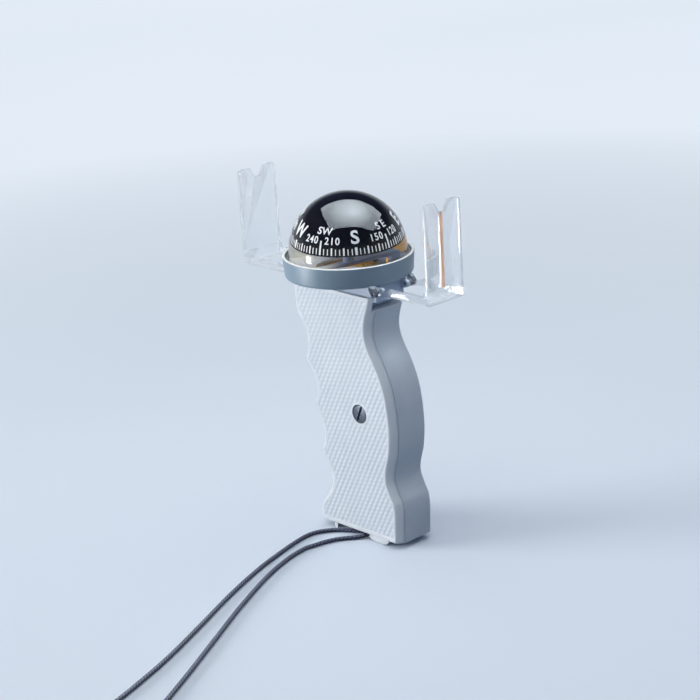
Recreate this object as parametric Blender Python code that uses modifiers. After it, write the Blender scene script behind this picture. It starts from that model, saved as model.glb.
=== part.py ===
"""Handheld bearing compass: pistol grip, domed card capsule, two folding sights.

Metres, +Z up. The capsule's axis is the Z axis and the grip's foot rests on Z = 0. The user looks
along +Y: the front sight is at +Y, the rear sight at -Y, and the grip's side cover faces -X.
"""
import math

import bmesh
import bpy
from mathutils import Matrix, Vector

# Running gap between two pieces that touch
GAP = 0.0003

# Grip: outline, walls and seam
GRIP_THICK = 0.0240
GRIP_WALL = 0.0022
GRIP_FOOT_Z = 0.0034
BODY_TOP_Z = 0.1243
COVER_TOP_Z = 0.1310
COVER_WALL = 0.0020
SEAM_X = -0.0078
REAR_ROUND = 0.0032
FRONT_ROUND = 0.0019
OUTLINE_STEPS = 36

# Grip outline, bottom to top: share of the cover's height, then Y
FRONT_KNOTS = [
    (0.000, 0.0190), (0.020, 0.0198), (0.047, 0.0197), (0.078, 0.0181), (0.114, 0.0145),
    (0.156, 0.0110), (0.193, 0.0099), (0.232, 0.0113), (0.274, 0.0144), (0.306, 0.0166),
    (0.335, 0.0149), (0.372, 0.0139), (0.412, 0.0146), (0.455, 0.0172), (0.494, 0.0194),
    (0.530, 0.0180), (0.564, 0.0170), (0.600, 0.0176), (0.633, 0.0196), (0.661, 0.0225),
    (0.683, 0.0242), (0.710, 0.0231), (0.744, 0.0223), (0.781, 0.0222), (0.820, 0.0238),
    (0.855, 0.0267), (0.892, 0.0292), (1.000, 0.0297),
]
REAR_KNOTS = [
    (0.000, -0.0376), (0.067, -0.0380), (0.122, -0.0384), (0.169, -0.0377), (0.208, -0.0352),
    (0.252, -0.0330), (0.295, -0.0333), (0.365, -0.0359), (0.444, -0.0372), (0.506, -0.0371),
    (0.577, -0.0362), (0.640, -0.0345), (0.690, -0.0321), (0.734, -0.0292), (0.784, -0.0254),
    (0.828, -0.0233), (0.867, -0.0230), (0.910, -0.0242), (0.953, -0.0262), (1.000, -0.0280),
]

# Cover screw and its brass insert
SCREW_Y = -0.0138
SCREW_Z = 0.0686
SCREW_HEAD_R = 0.00475
SCREW_HEAD_H = 0.0016
SCREW_SHANK_R = 0.0015
SCREW_LENGTH = GRIP_THICK / 2 + 0.0020
SLOT_WIDTH = 0.0013
SLOT_DEPTH = 0.0008
SLOT_TILT = math.radians(22)
INSERT_R = 0.0026
INSERT_LENGTH = 0.0080
BOSS_R = 0.0042
BOSS_FACE_X = -0.0060

# Foot piece, lanyard bar
FOOT_HALF_X = 0.0112
FOOT_HEIGHT = 0.0031
REAR_FOOT_Y = (-0.0270, -0.0150)
REAR_FOOT_ROUND = 0.0024
FRONT_FOOT_Y = (0.0094, 0.0114)
FRONT_FOOT_HALF_X = 0.0106
PLUG_X = (-0.0070, 0.0090)
PLUG_Y = (-0.0200, 0.0105)
PLUG_TOP_Z = 0.0100
POCKET_X = (-0.0056, 0.0062)
POCKET_Y = (-0.0145, 0.0088)
POCKET_TOP_Z = 0.0087
BAR_R = 0.0009
BAR_X = -0.0010
BAR_Z = 0.0046
BAR_Y = (-0.0164, 0.0098)

# Lanyard: diameter, hitch round the bar, route on the floor
CORD_R = 0.0011
CORD_FLOOR_Z = CORD_R + 0.00004
HITCH_R = BAR_R + GAP + CORD_R
HITCH_NEAR_Y = -0.0100
HITCH_FAR_Y = -0.0128
CORD_SAMPLES = 78
CORD_END_RUN = 2 * CORD_R

# Capsule and housing band: the band stands on the hinge block and its radii follow the dome
DOME_R = 0.0297
DOME_WALL = 0.0016
BAND_BOTTOM_Z = 0.1379
BAND_HEIGHT = 0.0106
BAND_TOP_Z = BAND_BOTTOM_Z + BAND_HEIGHT
BAND_WALL = 0.0015
FLANGE_R = DOME_R + 0.0014
BAND_BORE_R = FLANGE_R + 0.0004
BAND_R_TOP = BAND_BORE_R + BAND_WALL
BAND_R_BOTTOM = BAND_R_TOP - 0.00065
BAND_FLOOR = 0.0020
BAND_FLOOR_BORE_R = BAND_BORE_R - 0.0075
DOME_CENTRE_Z = BAND_TOP_Z + 0.0008
DOME_SKIRT = BAND_HEIGHT - 0.0058
FLANGE_H = 0.0014
SEAL_H = 0.0010
BOWL_FLOOR = 0.0014
BOWL_BORE_R = 0.0090
RING_STEPS = 40
ROUND_STEPS = 20
FINE_STEPS = 16

# Compass card: concentric with the dome
CARD_R = DOME_R - DOME_WALL - 0.0056
CARD_WALL = 0.0006
CARD_RIM_UP = 0.0026
CARD_HEADING = math.radians(-33)
WEB_R = CARD_R - 0.00175
WEB_H = 0.0008
WEB_UP = 0.0048
FLOAT_R = 0.0120
FLOAT_H = 0.0070
MAGNET_SIZE = (0.0050, 0.0240, 0.0025)
MAGNET_OFFSET = 0.0066
JEWEL_R = 0.0020
JEWEL_H = 0.0034
JEWEL_BOTTOM_UP = 0.0012
JEWEL_RECESS = 0.0016
PIN_R = 0.0006
POST_R = 0.0020

# Lubber ring under the card, with its post on the side that faces the user
BOWL_R = DOME_R - DOME_WALL - 0.0009
LUBBER_R = (BOWL_R - 0.0022, BOWL_R)
LUBBER_SKIRT_R = (BOWL_R - 0.0020, BOWL_R - 0.0012)
LUBBER_H = 0.0012
LUBBER_POST_WIDTH = 0.0010

# Sights: plate, window frame and hinge
SIGHT_WIDTH = 0.0240
SIGHT_PLATE_Y = 0.0656
SIGHT_PLATE_THICK = 0.0024
SIGHT_TOP_UP = 0.0349
SIGHT_BAR_TOP_DOWN = BAND_HEIGHT - 0.0029
SIGHT_ARM_TOP_DOWN = BAND_HEIGHT - 0.0006
SIGHT_ARM_BOTTOM_DOWN = BAND_HEIGHT + 0.0036
SIGHT_ARM_THICK = 0.0020
SIGHT_BAR_DEPTH = 0.0036
NOTCH_TOP = 0.0106
NOTCH_BOTTOM = 0.0040
NOTCH_DEPTH = 0.0052
SIGHT_CORNER = 0.0016
HINGE_Y = BAND_R_TOP - 0.0020
HINGE_DOWN = BAND_HEIGHT + 0.0028
KNUCKLE_R = 0.0020
HEEL = 0.0030
PIN_HOLE_R = 0.0009
HINGE_PIN_R = 0.0006
LINE_WIDTH = 0.0014
LINE_DEPTH = 0.0005

# Hinge block and neck between grip and band
BLOCK_HALF_X = 0.0097
BLOCK_HALF_Y = HINGE_Y - 0.0027
BLOCK_BOTTOM_Z = 0.1288
NECK_HALF_Y = 0.0209
EAR_THICK = 0.0020
LUG_THICK = 0.0020
LUG_ROOT_Y = HINGE_Y - 0.0065
LAMP_WELL_R = 0.0062
LAMP_Y = 0.0000

# Fasteners inside
SMALL_HEAD_R = 0.0026
SMALL_HEAD_H = 0.0016
SMALL_SHANK_R = 0.0012
NECK_SCREW_Y = 0.0145
HEAD_SCREW_Y = HINGE_Y - 0.0048

# Cells, contacts, lamp and push button
CELL_R = 0.00725
CELL_LENGTH = 0.0492
CELL_NUB_R = 0.0027
CELL_NUB_H = 0.0013
CELL_FRONT_Y = -0.0045
CELL_REAR_Y = CELL_FRONT_Y - 2 * CELL_R - 0.0013
CELL_X = 0.0016
CELL_BOTTOM_Z = 0.0125
CONTACT_THICK = 0.0005
BUTTON_Z = 0.1005
BUTTON_R = 0.0049
BUTTON_PROUD = 0.0022
BUTTON_TRAVEL = 0.0018
BUTTON_FLANGE_R = 0.0064
BUTTON_FLANGE_H = 0.0012
BUTTON_STEM_R = 0.0016
BUTTON_CROWN = 0.0008
LEAF_THICK = 0.0003
SWITCH_PLATE_Y = 0.0080
SPRING_R = 0.0030
SPRING_WIRE_R = 0.0003
SPRING_TURNS = 4
LAMP_R = 0.0025
LAMP_TIP_Z = 0.1384
WIRE_R = 0.0005

# Colours
GRIP_GREY = (0.66, 0.69, 0.71, 1)
BAND_GREY = (0.24, 0.29, 0.31, 1)
CARD_BLACK = (0.012, 0.012, 0.014, 1)
CLEAR = (0.93, 0.96, 0.97, 1)
ORANGE = (0.90, 0.38, 0.07, 1)
AMBER = (0.80, 0.42, 0.08, 1)
CREAM = (0.80, 0.76, 0.62, 1)
STEEL = (0.42, 0.43, 0.45, 1)
BRASS = (0.75, 0.56, 0.25, 1)
NAVY = (0.012, 0.014, 0.045, 1)
RUBBER = (0.03, 0.03, 0.03, 1)


# ---------------------------------------------------------------- scene helpers
def clear_scene():
    for obj in list(bpy.data.objects):
        bpy.data.objects.remove(obj, do_unlink=True)


def new_collection(name):
    collection = bpy.data.collections.new(name)
    bpy.context.scene.collection.children.link(collection)
    return collection


def material(name, colour, roughness, metallic=0.0, transmission=0.0):
    mat = bpy.data.materials.new(name)
    mat.use_nodes = True
    shader = mat.node_tree.nodes["Principled BSDF"]
    shader.inputs["Base Color"].default_value = colour
    shader.inputs["Roughness"].default_value = roughness
    shader.inputs["Metallic"].default_value = metallic
    shader.inputs["Transmission Weight"].default_value = transmission
    return mat


def empty(name, place, parent=None, turn_z=0.0):
    holder = bpy.data.objects.new(name, None)
    holder.empty_display_size = 0.01
    holder.location = place
    holder.rotation_euler = (0, 0, turn_z)
    holder.parent = parent
    PARTS.objects.link(holder)
    return holder


def add_object(name, mesh, parent=None, mat=None, collection=None):
    obj = bpy.data.objects.new(name, mesh)
    obj.parent = parent
    (collection or PARTS).objects.link(obj)
    if mat:
        mesh.materials.append(mat)
    return obj


def as_tool(obj):
    """Keep a helper shape out of the model: it only cuts or joins."""
    obj.hide_render = True
    obj.display_type = "WIRE"
    for collection in list(obj.users_collection):
        collection.objects.unlink(obj)
    TOOLS.objects.link(obj)
    return obj


def boolean(target, operation, tools):
    for tool in tools:
        as_tool(tool)
        step = target.modifiers.new(operation.lower() + "_" + tool.name, "BOOLEAN")
        step.operation = operation
        step.solver = "EXACT"
        step.object = tool
    return target


def cut(target, *tools):
    return boolean(target, "DIFFERENCE", tools)


def join(target, *tools):
    return boolean(target, "UNION", tools)


def smooth_shading(obj, angle=35):
    obj.data.shade_smooth()
    obj.data.set_sharp_from_angle(angle=math.radians(angle))
    return obj


# ---------------------------------------------------------------- shape helpers
def mesh_from(name, bm):
    mesh = bpy.data.meshes.new(name)
    bm.to_mesh(mesh)
    bm.free()
    return mesh


def box(name, x, y, z, parent=None, mat=None):
    """A block between two limits on each axis."""
    bm = bmesh.new()
    bmesh.ops.create_cube(bm, size=1)
    size = Vector((x[1] - x[0], y[1] - y[0], z[1] - z[0]))
    centre = Vector((x[0] + x[1], y[0] + y[1], z[0] + z[1])) / 2
    bmesh.ops.transform(bm, verts=bm.verts, matrix=Matrix.Translation(centre) @ Matrix.Diagonal(size).to_4x4())
    return add_object(name, mesh_from(name, bm), parent, mat)


def cylinder(name, start, end, radius, parent=None, mat=None, steps=ROUND_STEPS, end_radius=None):
    """A round bar from start to end; a second radius makes it a cone."""
    start, end = Vector(start), Vector(end)
    bm = bmesh.new()
    turn = (end - start).to_track_quat("Z", "Y").to_matrix().to_4x4()
    bmesh.ops.create_cone(
        bm, cap_ends=True, segments=steps, radius1=radius,
        radius2=radius if end_radius is None else end_radius, depth=(end - start).length,
        matrix=Matrix.Translation((start + end) / 2) @ turn)
    return smooth_shading(add_object(name, mesh_from(name, bm), parent, mat))


def turned(name, profile, parent=None, mat=None, steps=RING_STEPS, closed=True):
    """A profile of (radius, height) turned about Z. Its outer side runs from top to bottom."""
    mesh = bpy.data.meshes.new(name)
    count = len(profile)
    edges = [(i, i + 1) for i in range(count - 1)] + ([(count - 1, 0)] if closed else [])
    mesh.from_pydata([(r, 0, z) for r, z in profile], edges, [])
    obj = add_object(name, mesh, parent, mat)
    screw = obj.modifiers.new("turn", "SCREW")
    screw.axis = "Z"
    screw.steps = steps
    screw.render_steps = steps
    screw.use_merge_vertices = True
    screw.merge_threshold = 0.00001
    screw.use_smooth_shade = True
    return obj


def curve_mesh(name, curve, frame, parent, mat):
    """The mesh of a curve, with its caps welded, placed by a frame matrix."""
    holder = bpy.data.objects.new(name, curve)
    PARTS.objects.link(holder)
    depsgraph = bpy.context.evaluated_depsgraph_get()
    mesh = bpy.data.meshes.new_from_object(holder.evaluated_get(depsgraph))
    matrix_world = holder.matrix_world.copy()
    bpy.data.objects.remove(holder)
    bm = bmesh.new()
    bm.from_mesh(mesh)
    bmesh.ops.remove_doubles(bm, verts=bm.verts, dist=0.000005)
    flat = [f for f in bm.faces if abs(f.normal.z) > 0.999]
    if curve.dimensions == "2D":
        bmesh.ops.dissolve_faces(bm, faces=flat, use_verts=False)
    bmesh.ops.transform(bm, verts=bm.verts, matrix=frame)
    bmesh.ops.recalc_face_normals(bm, faces=bm.faces)
    bm.to_mesh(mesh)
    bm.free()
    mesh.materials.clear()
    obj = add_object(name, mesh, parent, mat)
    if parent is None:
        obj.matrix_world = matrix_world
    return obj


def prism(name, outline, plane, low, high, parent=None, mat=None):
    """A flat outline, thickened from low to high along the axis that plane names.

    plane "X" reads the outline as (y, z), "Y" as (x, z) and "Z" as (x, y).
    """
    curve = bpy.data.curves.new(name, "CURVE")
    curve.dimensions = "2D"
    curve.fill_mode = "BOTH"
    curve.extrude = (high - low) / 2
    spline = curve.splines.new("POLY")
    spline.points.add(len(outline) - 1)
    for point, (u, v) in zip(spline.points, outline):
        point.co = (u, v, 0, 1)
    spline.use_cyclic_u = True
    middle = (low + high) / 2
    columns = {
        "X": ((0, 0, 1, middle), (1, 0, 0, 0), (0, 1, 0, 0)),
        "Y": ((1, 0, 0, 0), (0, 0, -1, middle), (0, 1, 0, 0)),
        "Z": ((1, 0, 0, 0), (0, 1, 0, 0), (0, 0, 1, middle)),
    }[plane]
    return curve_mesh(name, curve, Matrix(columns + ((0, 0, 0, 1),)), parent, mat)


def tube(name, points, radius, parent=None, mat=None):
    """A round cord or wire along a list of points."""
    curve = bpy.data.curves.new(name, "CURVE")
    curve.dimensions = "3D"
    curve.bevel_depth = radius
    curve.bevel_resolution = 2
    curve.use_fill_caps = True
    spline = curve.splines.new("POLY")
    spline.points.add(len(points) - 1)
    for point, place in zip(spline.points, points):
        point.co = (*place, 1)
    obj = curve_mesh(name, curve, Matrix.Identity(4), parent, mat)
    return smooth_shading(obj, 50)


def arc(centre, radius, start, end, steps):
    """Points on a circle from one angle to another, both in degrees."""
    angles = [math.radians(start + (end - start) * i / steps) for i in range(steps + 1)]
    return [(centre[0] + radius * math.cos(a), centre[1] + radius * math.sin(a)) for a in angles]


def spline_value(knots, t):
    """A smooth curve through (t, value) knots, read at t."""
    last = len(knots) - 1
    i = max(k for k in range(last) if knots[k][0] <= t or k == 0)
    (t0, v0), (t1, v1) = knots[i], knots[i + 1]

    def slope(k):
        a, b = knots[max(k - 1, 0)], knots[min(k + 1, last)]
        return (b[1] - a[1]) / (b[0] - a[0])

    span = t1 - t0
    s = (t - t0) / span
    a = (2 * s ** 3 - 3 * s ** 2 + 1) * v0 + (s ** 3 - 2 * s ** 2 + s) * span * slope(i)
    return a + (3 * s ** 2 - 2 * s ** 3) * v1 + (s ** 3 - s ** 2) * span * slope(i + 1)


def smooth_route(points, samples):
    """Evenly spaced points on a smooth curve through the route's own points."""
    path = [Vector(p) for p in points]
    distance = [0.0]
    for a, b in zip(path, path[1:]):
        distance.append(distance[-1] + (b - a).length)
    axes = [[(d, p[i]) for d, p in zip(distance, path)] for i in range(3)]
    fine = [Vector([spline_value(axis, distance[-1] * k / 1500) for axis in axes]) for k in range(1501)]
    run = [0.0]
    for a, b in zip(fine, fine[1:]):
        run.append(run[-1] + (b - a).length)
    wanted = [run[-1] * k / (samples - 1) for k in range(samples)]
    result, k = [], 0
    for goal in wanted:
        while k < len(run) - 2 and run[k + 1] < goal:
            k += 1
        share = (goal - run[k]) / (run[k + 1] - run[k])
        result.append(fine[k].lerp(fine[k + 1], min(max(share, 0), 1)))
    return result, run[-1]


# ---------------------------------------------------------------- grip
def grip_height(z):
    return (z - GRIP_FOOT_Z) / (COVER_TOP_Z - GRIP_FOOT_Z)


def grip_edge(knots, inset, side, low, high):
    """One edge of the grip's outline from low to high, moved inwards by inset. side is +1 in front."""
    points = []
    for i in range(OUTLINE_STEPS + 1):
        z = low + (high - low) * i / OUTLINE_STEPS
        share = min(max(grip_height(z), 0), 1)
        step = 0.002
        before, after = max(share - step, 0), min(share + step, 1)
        rise = (after - before) * (COVER_TOP_Z - GRIP_FOOT_Z)
        slope = (spline_value(knots, after) - spline_value(knots, before)) / rise
        points.append((spline_value(knots, share) - side * inset * math.hypot(1, slope), z))
    return points


def grip_outline(low, high, inset=0.0):
    front = grip_edge(FRONT_KNOTS, inset, 1, low, high)
    rear = grip_edge(REAR_KNOTS, inset, -1, low, high)
    return front + rear[::-1]


def round_rim(obj, outer_x, low_z, high_z):
    """Round the edge between the grip's flat side and its front, foot and rear walls."""
    mesh = obj.data
    weights = mesh.attributes.new("bevel_weight_edge", "FLOAT", "EDGE")
    for edge in mesh.edges:
        ends = [mesh.vertices[i].co for i in edge.vertices]
        on_face = all(abs(p.x - outer_x) < 0.00001 for p in ends)
        on_top = all(abs(p.z - high_z) < 0.00001 for p in ends)
        on_foot = all(abs(p.z - low_z) < 0.00001 for p in ends)
        if not on_face or on_top:
            continue
        in_front = sum(p.y for p in ends) > 0
        width = 0.0008 if on_foot else FRONT_ROUND if in_front else REAR_ROUND
        weights.data[edge.index].value = width / REAR_ROUND
    bevel = obj.modifiers.new("rim", "BEVEL")
    bevel.limit_method = "WEIGHT"
    bevel.width = REAR_ROUND
    bevel.segments = 2
    return obj


def build_grip():
    outer = GRIP_THICK / 2
    body = prism("grip_body", grip_outline(GRIP_FOOT_Z, BODY_TOP_Z), "X", SEAM_X + GAP / 2, outer,
                 GRIP, MAT["grip"])
    round_rim(body, outer, GRIP_FOOT_Z, BODY_TOP_Z)
    hollow = prism("grip_hollow", grip_outline(GRIP_FOOT_Z + GRIP_WALL, BODY_TOP_Z - GRIP_WALL, GRIP_WALL),
                   "X", SEAM_X - 0.002, outer - GRIP_WALL)
    cut(body, hollow)
    boss = cylinder("boss", (BOSS_FACE_X, SCREW_Y, SCREW_Z), (outer - GRIP_WALL / 2, SCREW_Y, SCREW_Z), BOSS_R)
    join(body, boss)
    well = cylinder("insert_well", (BOSS_FACE_X - 0.001, SCREW_Y, SCREW_Z),
                    (BOSS_FACE_X + INSERT_LENGTH + GAP, SCREW_Y, SCREW_Z), INSERT_R + GAP)
    tip = cylinder("screw_tip_well", (BOSS_FACE_X, SCREW_Y, SCREW_Z),
                   (-outer + SCREW_LENGTH + 3 * GAP, SCREW_Y, SCREW_Z), SCREW_SHANK_R + GAP)
    opening = box("foot_opening", (SEAM_X - 0.001, PLUG_X[1] + GAP), (PLUG_Y[0] - GAP, PLUG_Y[1] + GAP),
                  (GRIP_FOOT_Z - 0.001, GRIP_FOOT_Z + GRIP_WALL + 0.001))
    cut(body, well, tip, opening)
    for name, y in (("front", NECK_SCREW_Y), ("rear", -NECK_SCREW_Y)):
        hole = cylinder("neck_hole_" + name, (0, y, BODY_TOP_Z - GRIP_WALL - 0.001), (0, y, BODY_TOP_Z + 0.001),
                        SMALL_SHANK_R + GAP, steps=FINE_STEPS)
        cut(body, hole)
    wire_hole = cylinder("wire_hole", (0, LAMP_Y, BODY_TOP_Z - GRIP_WALL - 0.001),
                         (0, LAMP_Y, BODY_TOP_Z + 0.001), 0.0030, steps=FINE_STEPS)
    button_hole = cylinder("button_hole", (0, 0.015, BUTTON_Z), (0, 0.030, BUTTON_Z), BUTTON_R + GAP)
    cut(body, wire_hole, button_hole)

    cover = prism("side_cover", grip_outline(GRIP_FOOT_Z, COVER_TOP_Z), "X", -outer, SEAM_X - GAP / 2,
                  GRIP, MAT["grip_cover"])
    round_rim(cover, -outer, GRIP_FOOT_Z, COVER_TOP_Z)
    recess = prism("cover_recess", grip_outline(GRIP_FOOT_Z + GRIP_WALL, BODY_TOP_Z - GRIP_WALL, GRIP_WALL),
                   "X", -outer + COVER_WALL, SEAM_X + 0.002)
    above = box("cover_above", (-outer + COVER_WALL, 0.02), (-0.05, 0.05), (BODY_TOP_Z, COVER_TOP_Z + 0.01))
    head_seat = cylinder("head_seat", (-outer - 0.001, SCREW_Y, SCREW_Z),
                         (-outer + SCREW_HEAD_H + GAP / 2, SCREW_Y, SCREW_Z), SCREW_HEAD_R + GAP)
    pillar = cylinder("cover_pillar", (-outer + COVER_WALL / 2, SCREW_Y, SCREW_Z),
                      (BOSS_FACE_X - GAP, SCREW_Y, SCREW_Z), SCREW_HEAD_R + 0.0015)
    bore = cylinder("cover_bore", (-outer, SCREW_Y, SCREW_Z), (BOSS_FACE_X + 0.001, SCREW_Y, SCREW_Z),
                    SCREW_SHANK_R + GAP)
    cut(cover, recess, above)
    join(cover, pillar)
    cut(cover, head_seat, bore)
    return body, cover


def build_cover_screw():
    """Slotted head in the cover's seat; the shank runs into the brass insert."""
    face = -GRIP_THICK / 2 + GAP / 2
    holder = empty("cover_screw_axis", (face, SCREW_Y, SCREW_Z), GRIP)
    screw = cylinder("cover_screw", (0, 0, 0), (SCREW_HEAD_H - GAP, 0, 0), SCREW_HEAD_R, holder, MAT["screw"])
    shank = cylinder("screw_shank", (SCREW_HEAD_H / 2, 0, 0), (SCREW_LENGTH, 0, 0), SCREW_SHANK_R, holder, steps=FINE_STEPS)
    join(screw, shank)
    slot = box("screw_slot", (-0.001, SLOT_DEPTH), (-SLOT_WIDTH / 2, SLOT_WIDTH / 2), (-0.01, 0.01), holder)
    slot.rotation_euler = (SLOT_TILT, 0, 0)
    cut(screw, slot)

    start, end = BOSS_FACE_X, BOSS_FACE_X + INSERT_LENGTH
    insert = cylinder("screw_insert", (start, SCREW_Y, SCREW_Z), (end, SCREW_Y, SCREW_Z), INSERT_R,
                      GRIP, MAT["brass"], steps=FINE_STEPS)
    bore = cylinder("insert_bore", (start - 0.001, SCREW_Y, SCREW_Z), (end + 0.001, SCREW_Y, SCREW_Z),
                    SCREW_SHANK_R + GAP, steps=FINE_STEPS)
    cut(insert, bore)


def foot_outline():
    """Side view of the rear foot: flat sole, rounded lower corners."""
    low, high = REAR_FOOT_Y
    r = REAR_FOOT_ROUND
    return ([(low, FOOT_HEIGHT)] + arc((low + r, r), r, 180, 270, 5)
            + arc((high - r, r), r, 270, 360, 5) + [(high, FOOT_HEIGHT)])


def build_foot():
    foot = prism("foot_piece", foot_outline(), "X", -FOOT_HALF_X, FOOT_HALF_X, GRIP, MAT["foot"])
    front = box("front_foot", (-FRONT_FOOT_HALF_X, FRONT_FOOT_HALF_X), FRONT_FOOT_Y, (0, FOOT_HEIGHT))
    plug = box("foot_plug", PLUG_X, PLUG_Y, (FOOT_HEIGHT - 0.0010, PLUG_TOP_Z))
    join(foot, plug, front)
    pocket = box("foot_pocket", POCKET_X, POCKET_Y, (-0.001, POCKET_TOP_Z))
    channel = box("foot_channel", (PLUG_X[0] - 0.001, POCKET_X[0] + 0.001), POCKET_Y, (-0.001, GRIP_FOOT_Z))
    bar_hole = cylinder("bar_hole", (BAR_X, BAR_Y[0] - GAP, BAR_Z), (BAR_X, BAR_Y[1] + GAP, BAR_Z),
                        BAR_R + GAP, steps=FINE_STEPS)
    cut(foot, pocket, channel, bar_hole)
    cylinder("lanyard_bar", (BAR_X, BAR_Y[0], BAR_Z), (BAR_X, BAR_Y[1], BAR_Z), BAR_R, GRIP, MAT["steel"], steps=FINE_STEPS)


# ---------------------------------------------------------------- lanyard
def lanyard_route():
    """The free cord's own points: out of the foot, along the floor, round the bight and back."""
    start_x, start_z = BAR_X - 2 * GAP - CORD_END_RUN, BAR_Z - HITCH_R
    outward = [
        (start_x, HITCH_NEAR_Y, start_z), (-0.0052, -0.0091, 0.0020), (-0.0076, -0.0064, 0.0016),
        (-0.0100, -0.0020, 0.0013), (-0.0130, 0.0036, CORD_FLOOR_Z), (-0.0176, 0.0086, CORD_FLOOR_Z),
        (-0.0232, 0.0117, CORD_FLOOR_Z), (-0.0290, 0.0125, CORD_FLOOR_Z), (-0.0352, 0.0117, CORD_FLOOR_Z),
        (-0.0412, 0.0104, CORD_FLOOR_Z), (-0.0474, 0.0088, CORD_FLOOR_Z), (-0.0700, 0.0020, CORD_FLOOR_Z),
        (-0.1000, -0.0100, CORD_FLOOR_Z), (-0.1320, -0.0250, CORD_FLOOR_Z), (-0.1640, -0.0395, CORD_FLOOR_Z),
        (-0.1950, -0.0510, CORD_FLOOR_Z), (-0.2200, -0.0590, CORD_FLOOR_Z),
    ]
    bight = [
        (-0.2380, -0.0660, CORD_FLOOR_Z), (-0.2470, -0.0755, CORD_FLOOR_Z), (-0.2440, -0.0860, CORD_FLOOR_Z),
        (-0.2340, -0.0900, CORD_FLOOR_Z), (-0.2220, -0.0870, CORD_FLOOR_Z),
    ]
    back = [
        (-0.2000, -0.0760, CORD_FLOOR_Z), (-0.1700, -0.0600, CORD_FLOOR_Z), (-0.1380, -0.0420, CORD_FLOOR_Z),
        (-0.1060, -0.0240, CORD_FLOOR_Z), (-0.0760, -0.0090, CORD_FLOOR_Z), (-0.0560, -0.0015, CORD_FLOOR_Z),
        (-0.0410, 0.0014, CORD_FLOOR_Z), (-0.0346, 0.0004, CORD_FLOOR_Z), (-0.0286, -0.0008, CORD_FLOOR_Z),
        (-0.0228, -0.0030, CORD_FLOOR_Z), (-0.0180, -0.0064, CORD_FLOOR_Z), (-0.0136, -0.0100, 0.0013),
        (-0.0090, -0.0122, 0.0017), (-0.0058, -0.0127, 0.0020), (start_x, HITCH_FAR_Y, start_z),
    ]
    return outward + bight + back


def build_lanyard():
    points, length = smooth_route(lanyard_route(), CORD_SAMPLES)
    run = Vector((CORD_END_RUN, 0, 0))
    points = [points[0] + run] + points + [points[-1] + run]
    print("lanyard length", round(length + 2 * CORD_END_RUN, 4))
    tube("lanyard", points, CORD_R, GRIP, MAT["cord"])
    near = [(BAR_X + HITCH_R * math.sin(a), HITCH_NEAR_Y, BAR_Z - HITCH_R * math.cos(a))
            for a in [math.radians(250 * i / 12) for i in range(13)]]
    far = [(x, HITCH_FAR_Y, z) for x, y, z in reversed(near)]
    x, _, z = near[-1]
    middle = [(x - 0.0002, (HITCH_NEAR_Y + HITCH_FAR_Y) / 2, z - 0.0001)]
    tube("lanyard_hitch", near + middle + far, CORD_R - 0.00002, GRIP, MAT["cord"])


# ---------------------------------------------------------------- hinge block, band and capsule
def build_hinge_block():
    top = BAND_BOTTOM_Z - GAP
    block = box("hinge_block", (-BLOCK_HALF_X, BLOCK_HALF_X), (-BLOCK_HALF_Y, BLOCK_HALF_Y),
                (BLOCK_BOTTOM_Z, top), GRIP, MAT["neck"])
    neck = box("neck", (-BLOCK_HALF_X, BLOCK_HALF_X), (-NECK_HALF_Y, NECK_HALF_Y),
               (BODY_TOP_Z + GAP, BLOCK_BOTTOM_Z + 0.001))
    join(block, neck)
    hinge_z = BAND_TOP_Z - HINGE_DOWN
    for side in (1, -1):
        for x in (-BLOCK_HALF_X, BLOCK_HALF_X - EAR_THICK):
            points = arc((HINGE_Y, hinge_z), KNUCKLE_R, 90, -90, 8)
            points += [(BLOCK_HALF_Y - 0.001, hinge_z - KNUCKLE_R - 0.0012), (BLOCK_HALF_Y - 0.001, top)]
            points = [(side * y, z) for y, z in points]
            join(block, prism("ear_%d_%d" % (side, round(x * 1e4)), points, "X", x, x + EAR_THICK))
        hole = cylinder("hinge_hole_%d" % side, (-0.02, side * HINGE_Y, hinge_z), (0.02, side * HINGE_Y, hinge_z),
                        PIN_HOLE_R, steps=FINE_STEPS)
        y = side * NECK_SCREW_Y
        neck_hole = cylinder("neck_thread_%d" % side, (0, y, BODY_TOP_Z - 0.001), (0, y, BODY_TOP_Z + 0.0080),
                             SMALL_SHANK_R + GAP, steps=FINE_STEPS)
        y = side * HEAD_SCREW_Y
        head_hole = cylinder("head_hole_%d" % side, (0, y, BLOCK_BOTTOM_Z - 0.001), (0, y, top + 0.001),
                             SMALL_SHANK_R + GAP, steps=FINE_STEPS)
        head_sink = cylinder("head_sink_%d" % side, (0, y, BLOCK_BOTTOM_Z - 0.001),
                             (0, y, BLOCK_BOTTOM_Z + SMALL_HEAD_H + GAP), SMALL_HEAD_R + GAP, steps=FINE_STEPS)
        cut(block, hole, neck_hole, head_hole, head_sink)
    lamp_well = cylinder("lamp_well", (0, LAMP_Y, BODY_TOP_Z - 0.001), (0, LAMP_Y, top + 0.001), LAMP_WELL_R)
    cut(block, lamp_well)
    return block


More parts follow.
